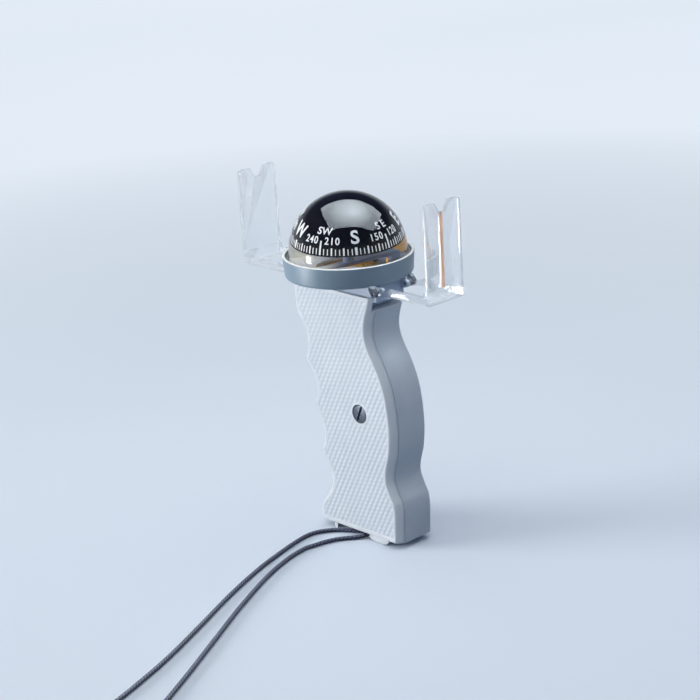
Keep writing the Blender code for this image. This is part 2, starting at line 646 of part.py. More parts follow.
def build_band():
    top, bottom = BAND_TOP_Z, BAND_BOTTOM_Z
    profile = [
        (BAND_BORE_R, top - 0.0003), (BAND_BORE_R + 0.0003, top), (BAND_R_TOP - 0.0003, top),
        (BAND_R_TOP, top - 0.0004), (BAND_R_BOTTOM + 0.0001, bottom + 0.0009), (BAND_R_BOTTOM - 0.0008, bottom),
        (BAND_FLOOR_BORE_R, bottom), (BAND_FLOOR_BORE_R, bottom + BAND_FLOOR), (BAND_BORE_R, bottom + BAND_FLOOR),
    ]
    band = turned("housing_band", profile, CAPSULE, MAT["band"])
    band.location = (0, 0, 0)
    hinge_z = bottom + (BAND_HEIGHT - HINGE_DOWN)
    inner = BLOCK_HALF_X + 2 * GAP + SIGHT_ARM_THICK
    for side in (1, -1):
        for x in (-inner - LUG_THICK, inner):
            points = arc((HINGE_Y, hinge_z), KNUCKLE_R, 60, -120, 8)
            points += [(LUG_ROOT_Y, bottom - 0.0008), (LUG_ROOT_Y, bottom + 0.0008), (LUG_ROOT_Y + 0.0040, bottom + 0.0008)]
            points = [(side * y, z) for y, z in points]
            lug = prism("lug_%d_%d" % (side, round(x * 1e4)), points, "X", x, x + LUG_THICK, CAPSULE)
            join(band, lug)
        pin_hole = cylinder("lug_hole_%d" % side, (-0.02, side * HINGE_Y, hinge_z), (0.02, side * HINGE_Y, hinge_z),
                            PIN_HOLE_R, CAPSULE, steps=FINE_STEPS)
        screw_hole = cylinder("band_hole_%d" % side, (0, side * HEAD_SCREW_Y, bottom - 0.001),
                              (0, side * HEAD_SCREW_Y, bottom + BAND_FLOOR + 0.001), SMALL_SHANK_R + GAP,
                              CAPSULE, steps=FINE_STEPS)
        cut(band, pin_hole, screw_hole)
    return band


def build_capsule():
    """Clear dome over a cream bowl, sealed by a ring and held down by a clamp ring."""
    outer, inner = DOME_R, DOME_R - DOME_WALL
    skirt_z = DOME_CENTRE_Z - DOME_SKIRT
    flange_top = skirt_z + FLANGE_H
    outside = [(outer * math.cos(a), DOME_CENTRE_Z + outer * math.sin(a)) for a in arc_angles(90, 0, 9)]
    inside = [(inner * math.cos(a), DOME_CENTRE_Z + inner * math.sin(a)) for a in arc_angles(0, 90, 8)]
    outside[0], inside[-1] = (0, DOME_CENTRE_Z + outer), (0, DOME_CENTRE_Z + inner)
    profile = outside + [(outer, flange_top), (FLANGE_R, flange_top), (FLANGE_R, skirt_z), (inner, skirt_z)] + inside
    turned("clear_dome", profile, CAPSULE, MAT["clear"], closed=False)

    seal_top = skirt_z - GAP
    seal_bottom = seal_top - SEAL_H
    turned("dome_seal", [(inner + 0.0006, seal_top), (FLANGE_R - 0.0002, seal_top),
                         (FLANGE_R - 0.0002, seal_bottom), (inner + 0.0006, seal_bottom)],
           CAPSULE, MAT["rubber"])

    bowl_top = seal_bottom - GAP
    bowl_bottom = BAND_BOTTOM_Z + BAND_FLOOR + GAP
    floor_z = bowl_bottom + BOWL_FLOOR
    bowl = turned("capsule_bowl", [
        (inner - 0.0012, bowl_top), (FLANGE_R, bowl_top), (FLANGE_R, bowl_top - 0.0014),
        (inner + 0.0006, bowl_top - 0.0014), (inner + 0.0006, bowl_bottom), (BOWL_BORE_R, bowl_bottom),
        (BOWL_BORE_R, floor_z), (inner - 0.0018, floor_z)], CAPSULE, MAT["cream"])
    plug_hole = cylinder("filler_hole", (0, -0.0170, bowl_bottom - 0.001), (0, -0.0170, floor_z + 0.001), 0.0021,
                         CAPSULE, steps=FINE_STEPS)
    cut(bowl, plug_hole)
    plug = cylinder("filler_plug", (0, -0.0170, bowl_bottom - 0.0004), (0, -0.0170, floor_z + 0.0002), 0.0018,
                    CAPSULE, MAT["brass"], steps=FINE_STEPS)
    cut(plug, box("filler_slot", (-0.003, 0.003), (-0.0174, -0.0166), (bowl_bottom - 0.001, bowl_bottom),
                  CAPSULE))

    clamp_low = flange_top + GAP
    turned("clamp_ring", [(outer + GAP, clamp_low + 0.0012), (FLANGE_R - 0.0001, clamp_low + 0.0012),
                          (FLANGE_R - 0.0001, clamp_low), (outer + GAP, clamp_low)], CAPSULE, MAT["rubber"])

    film_low = floor_z + GAP
    film = 0.0005
    wave = [(0.0116, 0), (0.0088, 0), (0.0074, -0.0010), (0.0056, 0.0004), (0.0040, -0.0008)]
    upper = [(0, film_low + film)] + [(r, film_low + film + h) for r, h in reversed(wave)]
    lower = [(r, film_low + h) for r, h in wave] + [(0, film_low)]
    turned("diaphragm", upper + lower, CAPSULE, MAT["amber"], steps=ROUND_STEPS, closed=False)
    ring_low = film_low + film + GAP
    turned("diaphragm_ring", [(0.0094, ring_low + 0.0008), (0.0118, ring_low + 0.0008), (0.0118, ring_low),
                              (0.0094, ring_low)], CAPSULE, MAT["brass"], steps=ROUND_STEPS)

    low, high = LUBBER_R
    ring_top = skirt_z + LUBBER_H
    skirt_low, skirt_high = LUBBER_SKIRT_R
    ring = turned("lubber_ring", [(low, ring_top), (high, ring_top), (high, ring_top - LUBBER_H),
                                  (skirt_high, ring_top - LUBBER_H), (skirt_high, film_low),
                                  (skirt_low, film_low), (skirt_low, ring_top - LUBBER_H),
                                  (low, ring_top - LUBBER_H)], CAPSULE, MAT["amber"])
    post_top = DOME_CENTRE_Z + CARD_RIM_UP - 0.0005
    post = box("lubber_post", (-LUBBER_POST_WIDTH / 2, LUBBER_POST_WIDTH / 2), (-high + 0.0004, -high + 0.0014),
               (ring_top - LUBBER_H / 2, post_top), CAPSULE)
    join(ring, post)
    return floor_z, ring_low + 0.0008


def arc_angles(start, end, steps):
    return [math.radians(start + (end - start) * i / steps) for i in range(steps + 1)]


def build_pivot(floor_z, over_z):
    """A bridge across the bowl carries the pivot post and its steel pin."""
    beam_low, beam_high = over_z + GAP, over_z + GAP + 0.0012
    foot_z = floor_z + GAP
    reach, leg = 0.0190, 0.0020
    outline = [(-reach, foot_z), (-reach + leg, foot_z), (-reach + leg, beam_low), (reach - leg, beam_low),
               (reach - leg, foot_z), (reach, foot_z), (reach, beam_high), (-reach, beam_high)]
    bridge = prism("pivot_bridge", outline, "Y", -0.0020, 0.0020, CAPSULE, MAT["cream"])
    post_top = DOME_CENTRE_Z - 0.0012
    join(bridge, cylinder("pivot_post", (0, 0, beam_low + 0.0004), (0, 0, post_top), POST_R, CAPSULE, steps=FINE_STEPS))
    cut(bridge, cylinder("pivot_bore", (0, 0, beam_high), (0, 0, post_top + 0.001), PIN_R + GAP, CAPSULE, steps=12))
    tip_z = DOME_CENTRE_Z + JEWEL_BOTTOM_UP + JEWEL_RECESS - GAP
    shoulder = tip_z - 0.0012
    turned("pivot_pin", [(0, tip_z), (0.0001, tip_z), (PIN_R, shoulder), (PIN_R, beam_high + GAP),
                         (0, beam_high + GAP)], CAPSULE, MAT["steel"], steps=12, closed=False)


def build_card():
    """Card shell, float with its web, magnets and jewel, turning together on the pivot pin."""
    axis = empty("card_axis", (0, 0, DOME_CENTRE_Z), CAPSULE, CARD_HEADING)
    outer, inner = CARD_R, CARD_R - CARD_WALL
    outside = [(outer * math.cos(a), outer * math.sin(a))
               for a in arc_angles(90, math.degrees(math.asin(CARD_RIM_UP / outer)), 8)]
    inside = [(inner * math.cos(a), inner * math.sin(a))
              for a in arc_angles(math.degrees(math.asin(CARD_RIM_UP / inner)), 90, 7)]
    outside[0], inside[-1] = (0, outer), (0, inner)
    turned("compass_card", outside + inside, axis, MAT["card"], closed=False)
    hub_low = JEWEL_BOTTOM_UP
    web_low, web_high = WEB_UP, WEB_UP + WEB_H
    turned("card_float", [
        (0, web_high + FLOAT_H), (FLOAT_R / 2, web_high + FLOAT_H), (FLOAT_R, web_high), (WEB_R, web_high),
        (WEB_R, web_low), (0.0034, web_low), (0.0034, hub_low), (JEWEL_R + GAP, hub_low),
        (JEWEL_R + GAP, hub_low + JEWEL_H + GAP), (0, hub_low + JEWEL_H + GAP)],
        axis, MAT["card_float"], closed=False)
    turned("jewel_cup", [(0, hub_low + JEWEL_H), (JEWEL_R, hub_low + JEWEL_H), (JEWEL_R, hub_low),
                         (0.0013, hub_low), (0, hub_low + JEWEL_RECESS)],
           axis, MAT["brass"], steps=FINE_STEPS, closed=False)
    width, length, height = MAGNET_SIZE
    for name, side in (("left", -1), ("right", 1)):
        x = side * MAGNET_OFFSET
        box("card_magnet_" + name, (x - width / 2, x + width / 2), (-length / 2, length / 2),
            (web_low - GAP - height, web_low - GAP), axis, MAT["steel"])


# ---------------------------------------------------------------- sights
def sight_arm_outline():
    """Side view of one arm from its heel to the outer bar, with the hinge at the origin."""
    bottom = HINGE_DOWN - SIGHT_ARM_BOTTOM_DOWN
    top = HINGE_DOWN - SIGHT_ARM_TOP_DOWN
    heel_top = HINGE_DOWN - BAND_HEIGHT - GAP
    end = SIGHT_PLATE_Y + SIGHT_PLATE_THICK / 2 - HINGE_Y - 0.0006
    under = arc((0, 0), KNUCKLE_R, 215, 305, 5)
    return ([(-HEEL, heel_top), (-HEEL, -0.0012)] + under
            + [(0.0040, bottom), (end, bottom), (end, top), (0.0100, top), (0.0030, 0.0009), (0.0004, heel_top)])


def plate_outline():
    """The upright plate seen from the user, with its V notch and rounded top corners."""
    half = SIGHT_WIDTH / 2
    low = HINGE_DOWN - SIGHT_BAR_TOP_DOWN - 0.0010
    top = HINGE_DOWN + SIGHT_TOP_UP
    r = SIGHT_CORNER
    right = arc((half - r, top - r), r, 0, 90, 4) + [(NOTCH_TOP / 2, top), (NOTCH_BOTTOM / 2, top - NOTCH_DEPTH)]
    left = [(-x, z) for x, z in reversed(right)]
    return [(half, low)] + right + left + [(-half, low)]


def build_sight(name, turn_z, with_line):
    """A clear L-shaped moulding on its own pivot: window frame below, notched plate above."""
    side = 1 if turn_z == 0 else -1
    pivot = empty(name + "_pivot", (0, side * HINGE_Y, BAND_TOP_Z - HINGE_DOWN), CAPSULE, turn_z)
    half = SIGHT_WIDTH / 2
    face = SIGHT_PLATE_Y + SIGHT_PLATE_THICK / 2 - HINGE_Y
    inner = face - SIGHT_PLATE_THICK
    sight = prism(name, plate_outline(), "Y", inner, face, pivot, MAT["clear"])
    bar = box(name + "_bar", (-half, half), (face - SIGHT_BAR_DEPTH, face),
              (HINGE_DOWN - SIGHT_ARM_BOTTOM_DOWN, HINGE_DOWN - SIGHT_BAR_TOP_DOWN), pivot)
    join(sight, bar)
    for number, x in enumerate((-half, half - SIGHT_ARM_THICK)):
        join(sight, prism("%s_arm_%d" % (name, number), sight_arm_outline(), "X", x, x + SIGHT_ARM_THICK, pivot))
    cut(sight, cylinder(name + "_pin_hole", (-0.02, 0, 0), (0.02, 0, 0), PIN_HOLE_R, pivot, steps=FINE_STEPS))
    if with_line:
        low, top = HINGE_DOWN - SIGHT_BAR_TOP_DOWN, HINGE_DOWN + SIGHT_TOP_UP - NOTCH_DEPTH
        w = LINE_WIDTH / 2
        cut(sight, box("line_groove", (-w - GAP, w + GAP), (inner - 0.001, inner + LINE_DEPTH + GAP),
                       (low, top + 0.001), pivot))
        box("sighting_line", (-w, w), (inner, inner + LINE_DEPTH), (low + GAP, top - GAP), pivot, MAT["orange"])


def build_hinge_pins():
    z = BAND_TOP_Z - HINGE_DOWN
    start = BLOCK_HALF_X - EAR_THICK + GAP
    end = BLOCK_HALF_X + 2 * GAP + SIGHT_ARM_THICK + LUG_THICK - GAP
    for end_name, y in (("front", HINGE_Y), ("rear", -HINGE_Y)):
        for side_name, side in (("left", -1), ("right", 1)):
            cylinder("hinge_pin_%s_%s" % (end_name, side_name), (side * start, y, z), (side * end, y, z),
                     HINGE_PIN_R, CAPSULE, MAT["steel"], steps=12)


# ---------------------------------------------------------------- inside the grip
def screw(name, x, y, head_z, tip_z, direction):
    """A small pan-head screw along Z. direction +1 points its tip upwards."""
    head_end = head_z + direction * SMALL_HEAD_H
    body = cylinder(name, (x, y, head_z), (x, y, head_end), SMALL_HEAD_R, GRIP, MAT["steel"], steps=FINE_STEPS)
    shank = cylinder(name + "_shank", (x, y, head_end - direction * 0.0004), (x, y, tip_z), SMALL_SHANK_R, steps=12)
    join(body, shank)
    z = sorted((head_z - direction * 0.001, head_z + direction * 0.0006))
    cut(body, box(name + "_slot", (x - 0.0004, x + 0.0004), (y - 0.005, y + 0.005), z))


def build_fasteners():
    under_wall = BODY_TOP_Z - GRIP_WALL - GAP - SMALL_HEAD_H
    for name, y in (("front", NECK_SCREW_Y), ("rear", -NECK_SCREW_Y)):
        screw("neck_screw_" + name, 0, y, under_wall, BODY_TOP_Z + 0.0076, 1)
    band_bottom = BAND_BOTTOM_Z
    for name, y in (("front", HEAD_SCREW_Y), ("rear", -HEAD_SCREW_Y)):
        screw("head_screw_" + name, 0, y, BLOCK_BOTTOM_Z, band_bottom + BAND_FLOOR - 0.0002, 1)


def build_cells():
    low, high = CELL_BOTTOM_Z, CELL_BOTTOM_Z + CELL_LENGTH
    for name, y, nub_low, nub_high in (("front", CELL_FRONT_Y, high - 0.001, high + CELL_NUB_H),
                                       ("rear", CELL_REAR_Y, low - CELL_NUB_H, low + 0.001)):
        cell = cylinder("cell_" + name, (CELL_X, y, low), (CELL_X, y, high), CELL_R, GRIP, MAT["cell"])
        join(cell, cylinder("nub_" + name, (CELL_X, y, nub_low), (CELL_X, y, nub_high), CELL_NUB_R, steps=FINE_STEPS))

    strip = (CELL_X - 0.0030, CELL_X + 0.0030)
    bridge_z = (PLUG_TOP_Z + GAP, low - CELL_NUB_H - GAP)
    bridge = box("contact_bridge", strip, (CELL_REAR_Y - 0.0040, CELL_FRONT_Y + 0.0040), bridge_z,
                 GRIP, MAT["steel"])
    join(bridge, box("bridge_tab", strip, (CELL_FRONT_Y - 0.0030, CELL_FRONT_Y + 0.0030),
                     (bridge_z[0] + 0.0002, low - GAP)))

    t = CONTACT_THICK
    z = high + CELL_NUB_H + GAP
    rise = 0.0880
    front_y = CELL_FRONT_Y + 0.0105
    prism("contact_positive", [(CELL_FRONT_Y - 0.0030, z), (front_y + t, z), (front_y + t, rise), (front_y, rise),
                               (front_y, z + t), (CELL_FRONT_Y - 0.0030, z + t)], "X", *strip, GRIP, MAT["brass"])
    z = high + GAP
    rear_y = CELL_REAR_Y - 0.0080
    prism("contact_negative", [(CELL_REAR_Y + 0.0015, z), (CELL_REAR_Y + 0.0015, z + t), (rear_y, z + t),
                               (rear_y, rise), (rear_y - t, rise), (rear_y - t, z)], "X", *strip, GRIP, MAT["brass"])


def build_button():
    """Push button for the lamp in the forefinger groove; it slides along its own axis into the grip."""
    face = spline_value(FRONT_KNOTS, grip_height(BUTTON_Z)) + BUTTON_PROUD
    flange_front = spline_value(FRONT_KNOTS, grip_height(BUTTON_Z)) - GRIP_WALL - 2 * GAP
    flange_back = flange_front - BUTTON_FLANGE_H
    stem_end = SWITCH_PLATE_Y + LEAF_THICK + BUTTON_TRAVEL + 3 * GAP
    axis = empty("button_axis", (0, face, BUTTON_Z), GRIP)
    crown, top, flange_top, flange_low, stem_low = (
        -BUTTON_CROWN, 0, flange_front - face, flange_back - face, stem_end - face)
    button = turned("push_button", [
        (0, top), (BUTTON_R - BUTTON_CROWN, top), (BUTTON_R, crown), (BUTTON_R, flange_top),
        (BUTTON_FLANGE_R, flange_top), (BUTTON_FLANGE_R, flange_low), (BUTTON_STEM_R, flange_low),
        (BUTTON_STEM_R, stem_low), (0, stem_low)], axis, MAT["button"], steps=ROUND_STEPS, closed=False)
    button.rotation_euler = (-math.pi / 2, 0, 0)

    plate_x = (SEAM_X + 0.0006, GRIP_THICK / 2 - GRIP_WALL - GAP)
    box("switch_plate", plate_x, (SWITCH_PLATE_Y - 0.0012, SWITCH_PLATE_Y), (BUTTON_Z - 0.0095, BUTTON_Z + 0.0085),
        GRIP, MAT["board"])
    leaf_y = SWITCH_PLATE_Y + GAP
    box("switch_leaf", (-0.0012, 0.0012), (leaf_y, leaf_y + LEAF_THICK), (BUTTON_Z - 0.0080, BUTTON_Z + 0.0020),
        GRIP, MAT["brass"])

    start, end = SWITCH_PLATE_Y + GAP + SPRING_WIRE_R + 0.0004, flange_back - GAP - SPRING_WIRE_R
    per_turn = 8
    steps = per_turn * SPRING_TURNS
    coil = [(SPRING_R * math.cos(2 * math.pi * i / per_turn), start + (end - start) * i / steps,
             BUTTON_Z + SPRING_R * math.sin(2 * math.pi * i / per_turn)) for i in range(steps + 1)]
    tube("button_spring", coil, SPRING_WIRE_R, GRIP, MAT["steel"])
    return face


def build_lamp():
    holder_low = BODY_TOP_Z + GAP
    holder_top = holder_low + 0.0052
    holder = cylinder("lamp_holder", (0, LAMP_Y, holder_low), (0, LAMP_Y, holder_top), LAMP_WELL_R - GAP,
                      GRIP, MAT["board"])
    cut(holder, cylinder("lamp_socket", (0, LAMP_Y, holder_low + 0.0012), (0, LAMP_Y, holder_top + 0.001),
                         LAMP_R + 2 * GAP))
    base = holder_low + 0.0012 + GAP
    tip = [(LAMP_R * math.cos(a), LAMP_TIP_Z - LAMP_R + LAMP_R * math.sin(a)) for a in arc_angles(90, 0, 5)]
    tip[0] = (0, LAMP_TIP_Z)
    lamp = turned("lamp", tip + [(LAMP_R, base), (0, base)], GRIP, MAT["clear"], steps=FINE_STEPS, closed=False)
    lamp.location = (0, LAMP_Y, 0)
    ends = {"left": (-0.0012, 0.0040), "right": (0.0012, 0.0062)}
    starts = {"left": (CELL_X - 0.0010, CELL_REAR_Y - 0.0071, 0.0870), "right": (0.0030, SWITCH_PLATE_Y - 0.0020, BUTTON_Z + 0.0060)}
    for name, (x, _) in ends.items():
        sx, sy, sz = starts[name]
        route = [(sx, sy, sz), (sx * 0.9, sy * 0.80, sz + (0.113 - sz) * 0.5), (x * 1.2, sy * 0.30, 0.1140),
                 (x, sy * 0.05, 0.1190), (x, 0, holder_low - GAP)]
        points, _ = smooth_route(route, 14)
        tube("lamp_wire_" + name, points, WIRE_R, GRIP, MAT["wire"])


# ---------------------------------------------------------------- assembly
clear_scene()
PARTS = new_collection("handheld_bearing_compass")
TOOLS = new_collection("tools")
TOOLS.hide_render = True
MAT = {
    "grip": material("grip", GRIP_GREY, 0.45),
    "grip_cover": material("grip_cover", GRIP_GREY, 0.50),
    "foot": material("foot", GRIP_GREY, 0.50),
    "neck": material("neck", GRIP_GREY, 0.50),
    "band": material("band", BAND_GREY, 0.40),
    "card": material("card", CARD_BLACK, 0.25),
    "card_float": material("card_float", CARD_BLACK, 0.40),
    "clear": material("clear", CLEAR, 0.03, transmission=0.9),
    "orange": material("orange", ORANGE, 0.45),
    "amber": material("amber", AMBER, 0.35),
    "cream": material("cream", CREAM, 0.45),
    "steel": material("steel", STEEL, 0.30, 1.0),
    "screw": material("screw", (0.14, 0.16, 0.19, 1), 0.35, 1.0),
    "brass": material("brass", BRASS, 0.35, 1.0),
    "cord": material("cord", NAVY, 0.70),
    "rubber": material("rubber", RUBBER, 0.70),
    "button": material("button", RUBBER, 0.55),
    "board": material("board", (0.20, 0.13, 0.07, 1), 0.60),
    "cell": material("cell", (0.05, 0.08, 0.16, 1), 0.35),
    "wire": material("wire", (0.55, 0.04, 0.03, 1), 0.45),
}
GRIP = empty("grip", (0, 0, 0))
CAPSULE = empty("capsule", (0, 0, 0), GRIP)

build_grip()
build_cover_screw()
build_foot()
build_lanyard()
build_hinge_block()
build_band()
build_pivot(*build_capsule())
build_card()
build_sight("front_sight", 0, False)
build_sight("rear_sight", math.pi, True)
build_hinge_pins()
build_fasteners()
build_cells()
build_button()
build_lamp()
bpy.context.view_layer.update()
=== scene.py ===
import math

import bmesh
import bpy
from mathutils import Matrix, Vector


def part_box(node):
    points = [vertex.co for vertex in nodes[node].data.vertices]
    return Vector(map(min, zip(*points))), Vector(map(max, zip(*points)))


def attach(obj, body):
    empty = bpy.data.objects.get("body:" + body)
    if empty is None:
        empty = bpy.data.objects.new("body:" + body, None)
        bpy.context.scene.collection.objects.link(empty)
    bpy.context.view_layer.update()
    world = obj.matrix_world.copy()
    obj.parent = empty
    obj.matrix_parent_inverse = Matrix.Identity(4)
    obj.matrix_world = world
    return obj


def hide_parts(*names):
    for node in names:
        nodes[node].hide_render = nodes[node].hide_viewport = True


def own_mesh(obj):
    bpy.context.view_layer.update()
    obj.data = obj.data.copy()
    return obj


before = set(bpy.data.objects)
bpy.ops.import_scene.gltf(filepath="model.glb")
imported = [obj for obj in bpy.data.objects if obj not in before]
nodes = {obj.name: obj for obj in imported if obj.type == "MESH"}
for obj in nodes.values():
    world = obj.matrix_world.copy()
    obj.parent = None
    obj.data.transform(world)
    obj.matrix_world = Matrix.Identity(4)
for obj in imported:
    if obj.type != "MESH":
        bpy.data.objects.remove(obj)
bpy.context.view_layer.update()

scene = bpy.context.scene
scene.view_settings.view_transform = "Standard"
mm = 0.001
gap = 0.3 * mm    # working gap between two pieces

# the camera stands where the photograph was taken from
cameraView = {"place": (-0.65244, -0.70402, 0.41450), "azimuth": 47.3034, "elevation": 18.3178,
              "roll": -3.5292, "lens": 102.857, "sensor": 36.0}


def addObject(name, data):
    thing = bpy.data.objects.new(name, data)
    scene.collection.objects.link(thing)
    return thing


def placeCamera(view):
    lens = bpy.data.cameras.new("camera")
    lens.lens, lens.sensor_width = view["lens"], view["sensor"]
    lens.clip_start, lens.clip_end = 0.01, 60
    turn = Matrix.Identity(4)
    for axis, angle in (("Z", view["azimuth"] - 90), ("X", 90 - view["elevation"]), ("Z", view["roll"])):
        turn = turn @ Matrix.Rotation(math.radians(angle), 4, axis)
    scene.camera = addObject("camera", lens)
    scene.camera.matrix_world = Matrix.Translation(view["place"]) @ turn


placeCamera(cameraView)
print("camera placed")


# settings written in millimetres, turned into metres
def metres(value):
    if isinstance(value, dict):
        return {key: metres(item) for key, item in value.items()}
    return type(value)(metres(item) for item in value) if isinstance(value, (tuple, list)) else value * mm


def solidMesh(verts, faces):
    mesh = bpy.data.meshes.new("mesh")
    mesh.from_pydata(verts, [], faces)
    mesh.validate()
    bm = bmesh.new()
    bm.from_mesh(mesh)
    bmesh.ops.recalc_face_normals(bm, faces=bm.faces)
    bm.to_mesh(mesh)
    bm.free()
    return mesh


# tubes, each a list of rings of points, skinned and closed at both ends
def skinnedMesh(*tubes):
    verts, faces = [], []
    for rings in tubes:
        loop, first = len(rings[0]), len(verts)
        for row in range(first, first + (len(rings) - 1) * loop, loop):
            for k in range(loop):
                a, b = row + k, row + (k + 1) % loop
                faces.append((a, b, b + loop, a + loop))
        verts += [tuple(point) for ring in rings for point in ring]
        faces += [tuple(range(first, first + loop)), tuple(range(len(verts) - loop, len(verts)))]
    return solidMesh(verts, faces)


def arc(centreU, centreV, radius, start, end, steps):
    angles = [math.radians(start + (end - start) * i / steps) for i in range(steps + 1)]
    return [(centreU + radius * math.cos(a), centreV + radius * math.sin(a)) for a in angles]


# a profile of (radius, height) turned about Z; a closed profile makes a ring
def turnedMesh(profile, steps=144, closed=False):
    verts, rows, faces = [], [], []
    for radius, height in profile:
        count = steps if radius > 1e-7 else 1
        rows.append([len(verts) + k % count for k in range(steps + 1)])
        angles = [2 * math.pi * k / steps for k in range(count)]
        verts += [(radius * math.cos(a), radius * math.sin(a), height) for a in angles]
    for upper, lower in list(zip(rows, rows[1:])) + ([(rows[-1], rows[0])] if closed else []):
        for k in range(steps):
            corners = tuple(dict.fromkeys((upper[k], lower[k], lower[k + 1], upper[k + 1])))
            if len(corners) > 2:
                faces.append(corners)
    return solidMesh(verts, faces)


# a point from its two coordinates across an axis and one along it
def swing(axis, u, v, w):
    return {"X": (w, u, v), "Y": (u, w, v), "Z": (u, v, w)}[axis]


def prismMesh(outline, axis, low, high):
    return skinnedMesh([[swing(axis, u, v, w) for u, v in outline] for w in (low, high)])


def boxMesh(x, y, z):
    return prismMesh([(x[0], y[0]), (x[1], y[0]), (x[1], y[1]), (x[0], y[1])], "Z", *z)


def rodMesh(axis, u, v, low, high, radius, steps=24):
    start, end = Vector(swing(axis, u, v, low)), Vector(swing(axis, u, v, high))
    turn = (end - start).to_track_quat("Z", "Y").to_matrix().to_4x4()
    bm = bmesh.new()
    bmesh.ops.create_cone(bm, cap_ends=True, segments=steps, radius1=radius, radius2=radius,
                          depth=(end - start).length, matrix=Matrix.Translation((start + end) / 2) @ turn)
    mesh = bpy.data.meshes.new("rod")
    bm.to_mesh(mesh)
    bm.free()
    return mesh


# steps that shape a piece: cut a mesh away, join one on, or bevel its edges
def cut(mesh):
    return "DIFFERENCE", mesh


def join(mesh):
    return "UNION", mesh


def bevel(width, segments, angle):
    return "BEVEL", (width, segments, angle)


# the steps are settled into the mesh, so that a piece stands on its own
def shapePiece(piece, steps):
    tools = []
    for kind, given in steps:
        if kind == "BEVEL":
            step = piece.modifiers.new("edges", "BEVEL")
            step.limit_method = "ANGLE"
            step.width, step.segments = given[:2]
            step.angle_limit = math.radians(given[2])
            continue
        tools.append(addObject("tool", given))
        step = piece.modifiers.new("tool", "BOOLEAN")
        step.operation, step.solver, step.object = kind, "EXACT", tools[-1]
    depsgraph = bpy.context.evaluated_depsgraph_get()
    mesh = bpy.data.meshes.new_from_object(piece.evaluated_get(depsgraph), depsgraph=depsgraph)
    piece.modifiers.clear()
    piece.data = mesh
    for tool in tools:
        bpy.data.objects.remove(tool)


def dress(piece, finish):
    piece.data.materials.clear()
    piece.data.materials.append(finishes[finish])


# every piece made here rides on a body, takes the finish of its slot and may stand for an imported node
def addPiece(name, mesh, body, slotName, cover=None, *steps, finish=None, angle=38):
    piece = addObject(name, mesh)
    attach(piece, body)
    if cover:
        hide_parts(cover)
    if steps:
        shapePiece(piece, steps)
    dress(piece, finish or slotName)
    if angle:
        piece.data.shade_smooth()
        piece.data.set_sharp_from_angle(angle=math.radians(angle))
    return piece


# a smooth curve through (t, value) knots
def splineValue(knots, t):
    last = len(knots) - 1
    i = max(k for k in range(last) if knots[k][0] <= t or k == 0)
    (t0, v0), (t1, v1) = knots[i], knots[i + 1]

    def slope(k):
        a, b = knots[max(k - 1, 0)], knots[min(k + 1, last)]
        return (b[1] - a[1]) / (b[0] - a[0])

    span = t1 - t0
    s = (t - t0) / span
    value = (2 * s ** 3 - 3 * s ** 2 + 1) * v0 + (s ** 3 - 2 * s ** 2 + s) * span * slope(i)
    return value + (3 * s ** 2 - 2 * s ** 3) * v1 + (s ** 3 - s ** 2) * span * slope(i + 1)


def runLengths(path):
    run = [0.0]
    for a, b in zip(path, path[1:]):
        run.append(run[-1] + (b - a).length)
    return run


# samples at even distances along a smooth curve through the points
def smoothRoute(points, samples, steps=1500):
    path = [Vector(p) for p in points]
    distance = runLengths(path)
    axes = [[(d, p[i]) for d, p in zip(distance, path)] for i in range(3)]
    fine = [Vector([splineValue(axis, distance[-1] * k / steps) for axis in axes]) for k in range(steps + 1)]
    run = runLengths(fine)
    result, k = [], 0
    for n in range(samples):
        goal = run[-1] * n / (samples - 1)
        while k < len(run) - 2 and run[k + 1] < goal:
            k += 1
        share = (goal - run[k]) / (run[k + 1] - run[k])
        result.append(fine[k].lerp(fine[k + 1], min(max(share, 0), 1)))
    return result


# links a socket to an input, or sets a constant on it
def feed(tree, node, values):
    for label, value in values.items():
        socket = node.inputs[label]
        if isinstance(value, bpy.types.NodeSocket):
            tree.links.new(value, socket)
        else:
            socket.default_value = (*value, 1) if socket.type == "RGBA" else value
    return node


def addNode(tree, kind, values={}, **settings):
    node = tree.nodes.new("ShaderNode" + kind)
    for key, value in settings.items():
        setattr(node, key, value)
    return feed(tree, node, values).outputs


def mathNode(tree, operation, a, b, clamp=False):
    return addNode(tree, "Math", {0: a, 1: b}, operation=operation, use_clamp=clamp)[0]


def times(tree, a, b, clamp=False):
    return mathNode(tree, "MULTIPLY", a, b, clamp)


def coordinate(tree, kind="Object"):
    return addNode(tree, "TexCoord")[kind]


def noiseNode(tree, scale, detail=2.0, vector=None, rough=0.5):
    place = coordinate(tree) if vector is None else vector
    return addNode(tree, "TexNoise", {"Vector": place, "Scale": scale, "Detail": detail,
                                      "Roughness": rough})["Fac"]


def rangeNode(tree, value, low, high, toLow=0.0, toHigh=1.0):
    return addNode(tree, "MapRange", {"Value": value, "From Min": low, "From Max": high, "To Min": toLow,
                                      "To Max": toHigh}, clamp=True)["Result"]


def mixColour(tree, mask, first, second):
    return addNode(tree, "Mix", {0: mask, 6: first, 7: second}, data_type="RGBA")[2]


def mixShaders(tree, mask, first, second, output="Material Output"):
    both = addNode(tree, "MixShader", {0: mask, 1: first, 2: second})
    feed(tree, tree.nodes[output], {"Surface": both[0]})


def newGroup(name, inputs, outputs):
    group = bpy.data.node_groups.new(name, "ShaderNodeTree")
    for label, value in inputs.items():
        group.interface.new_socket(label, in_out="INPUT", socket_type="NodeSocketFloat").default_value = value
    for label in outputs:
        group.interface.new_socket(label, in_out="OUTPUT", socket_type="NodeSocketFloat")
    return group, group.nodes.new("NodeGroupInput").outputs, group.nodes.new("NodeGroupOutput")


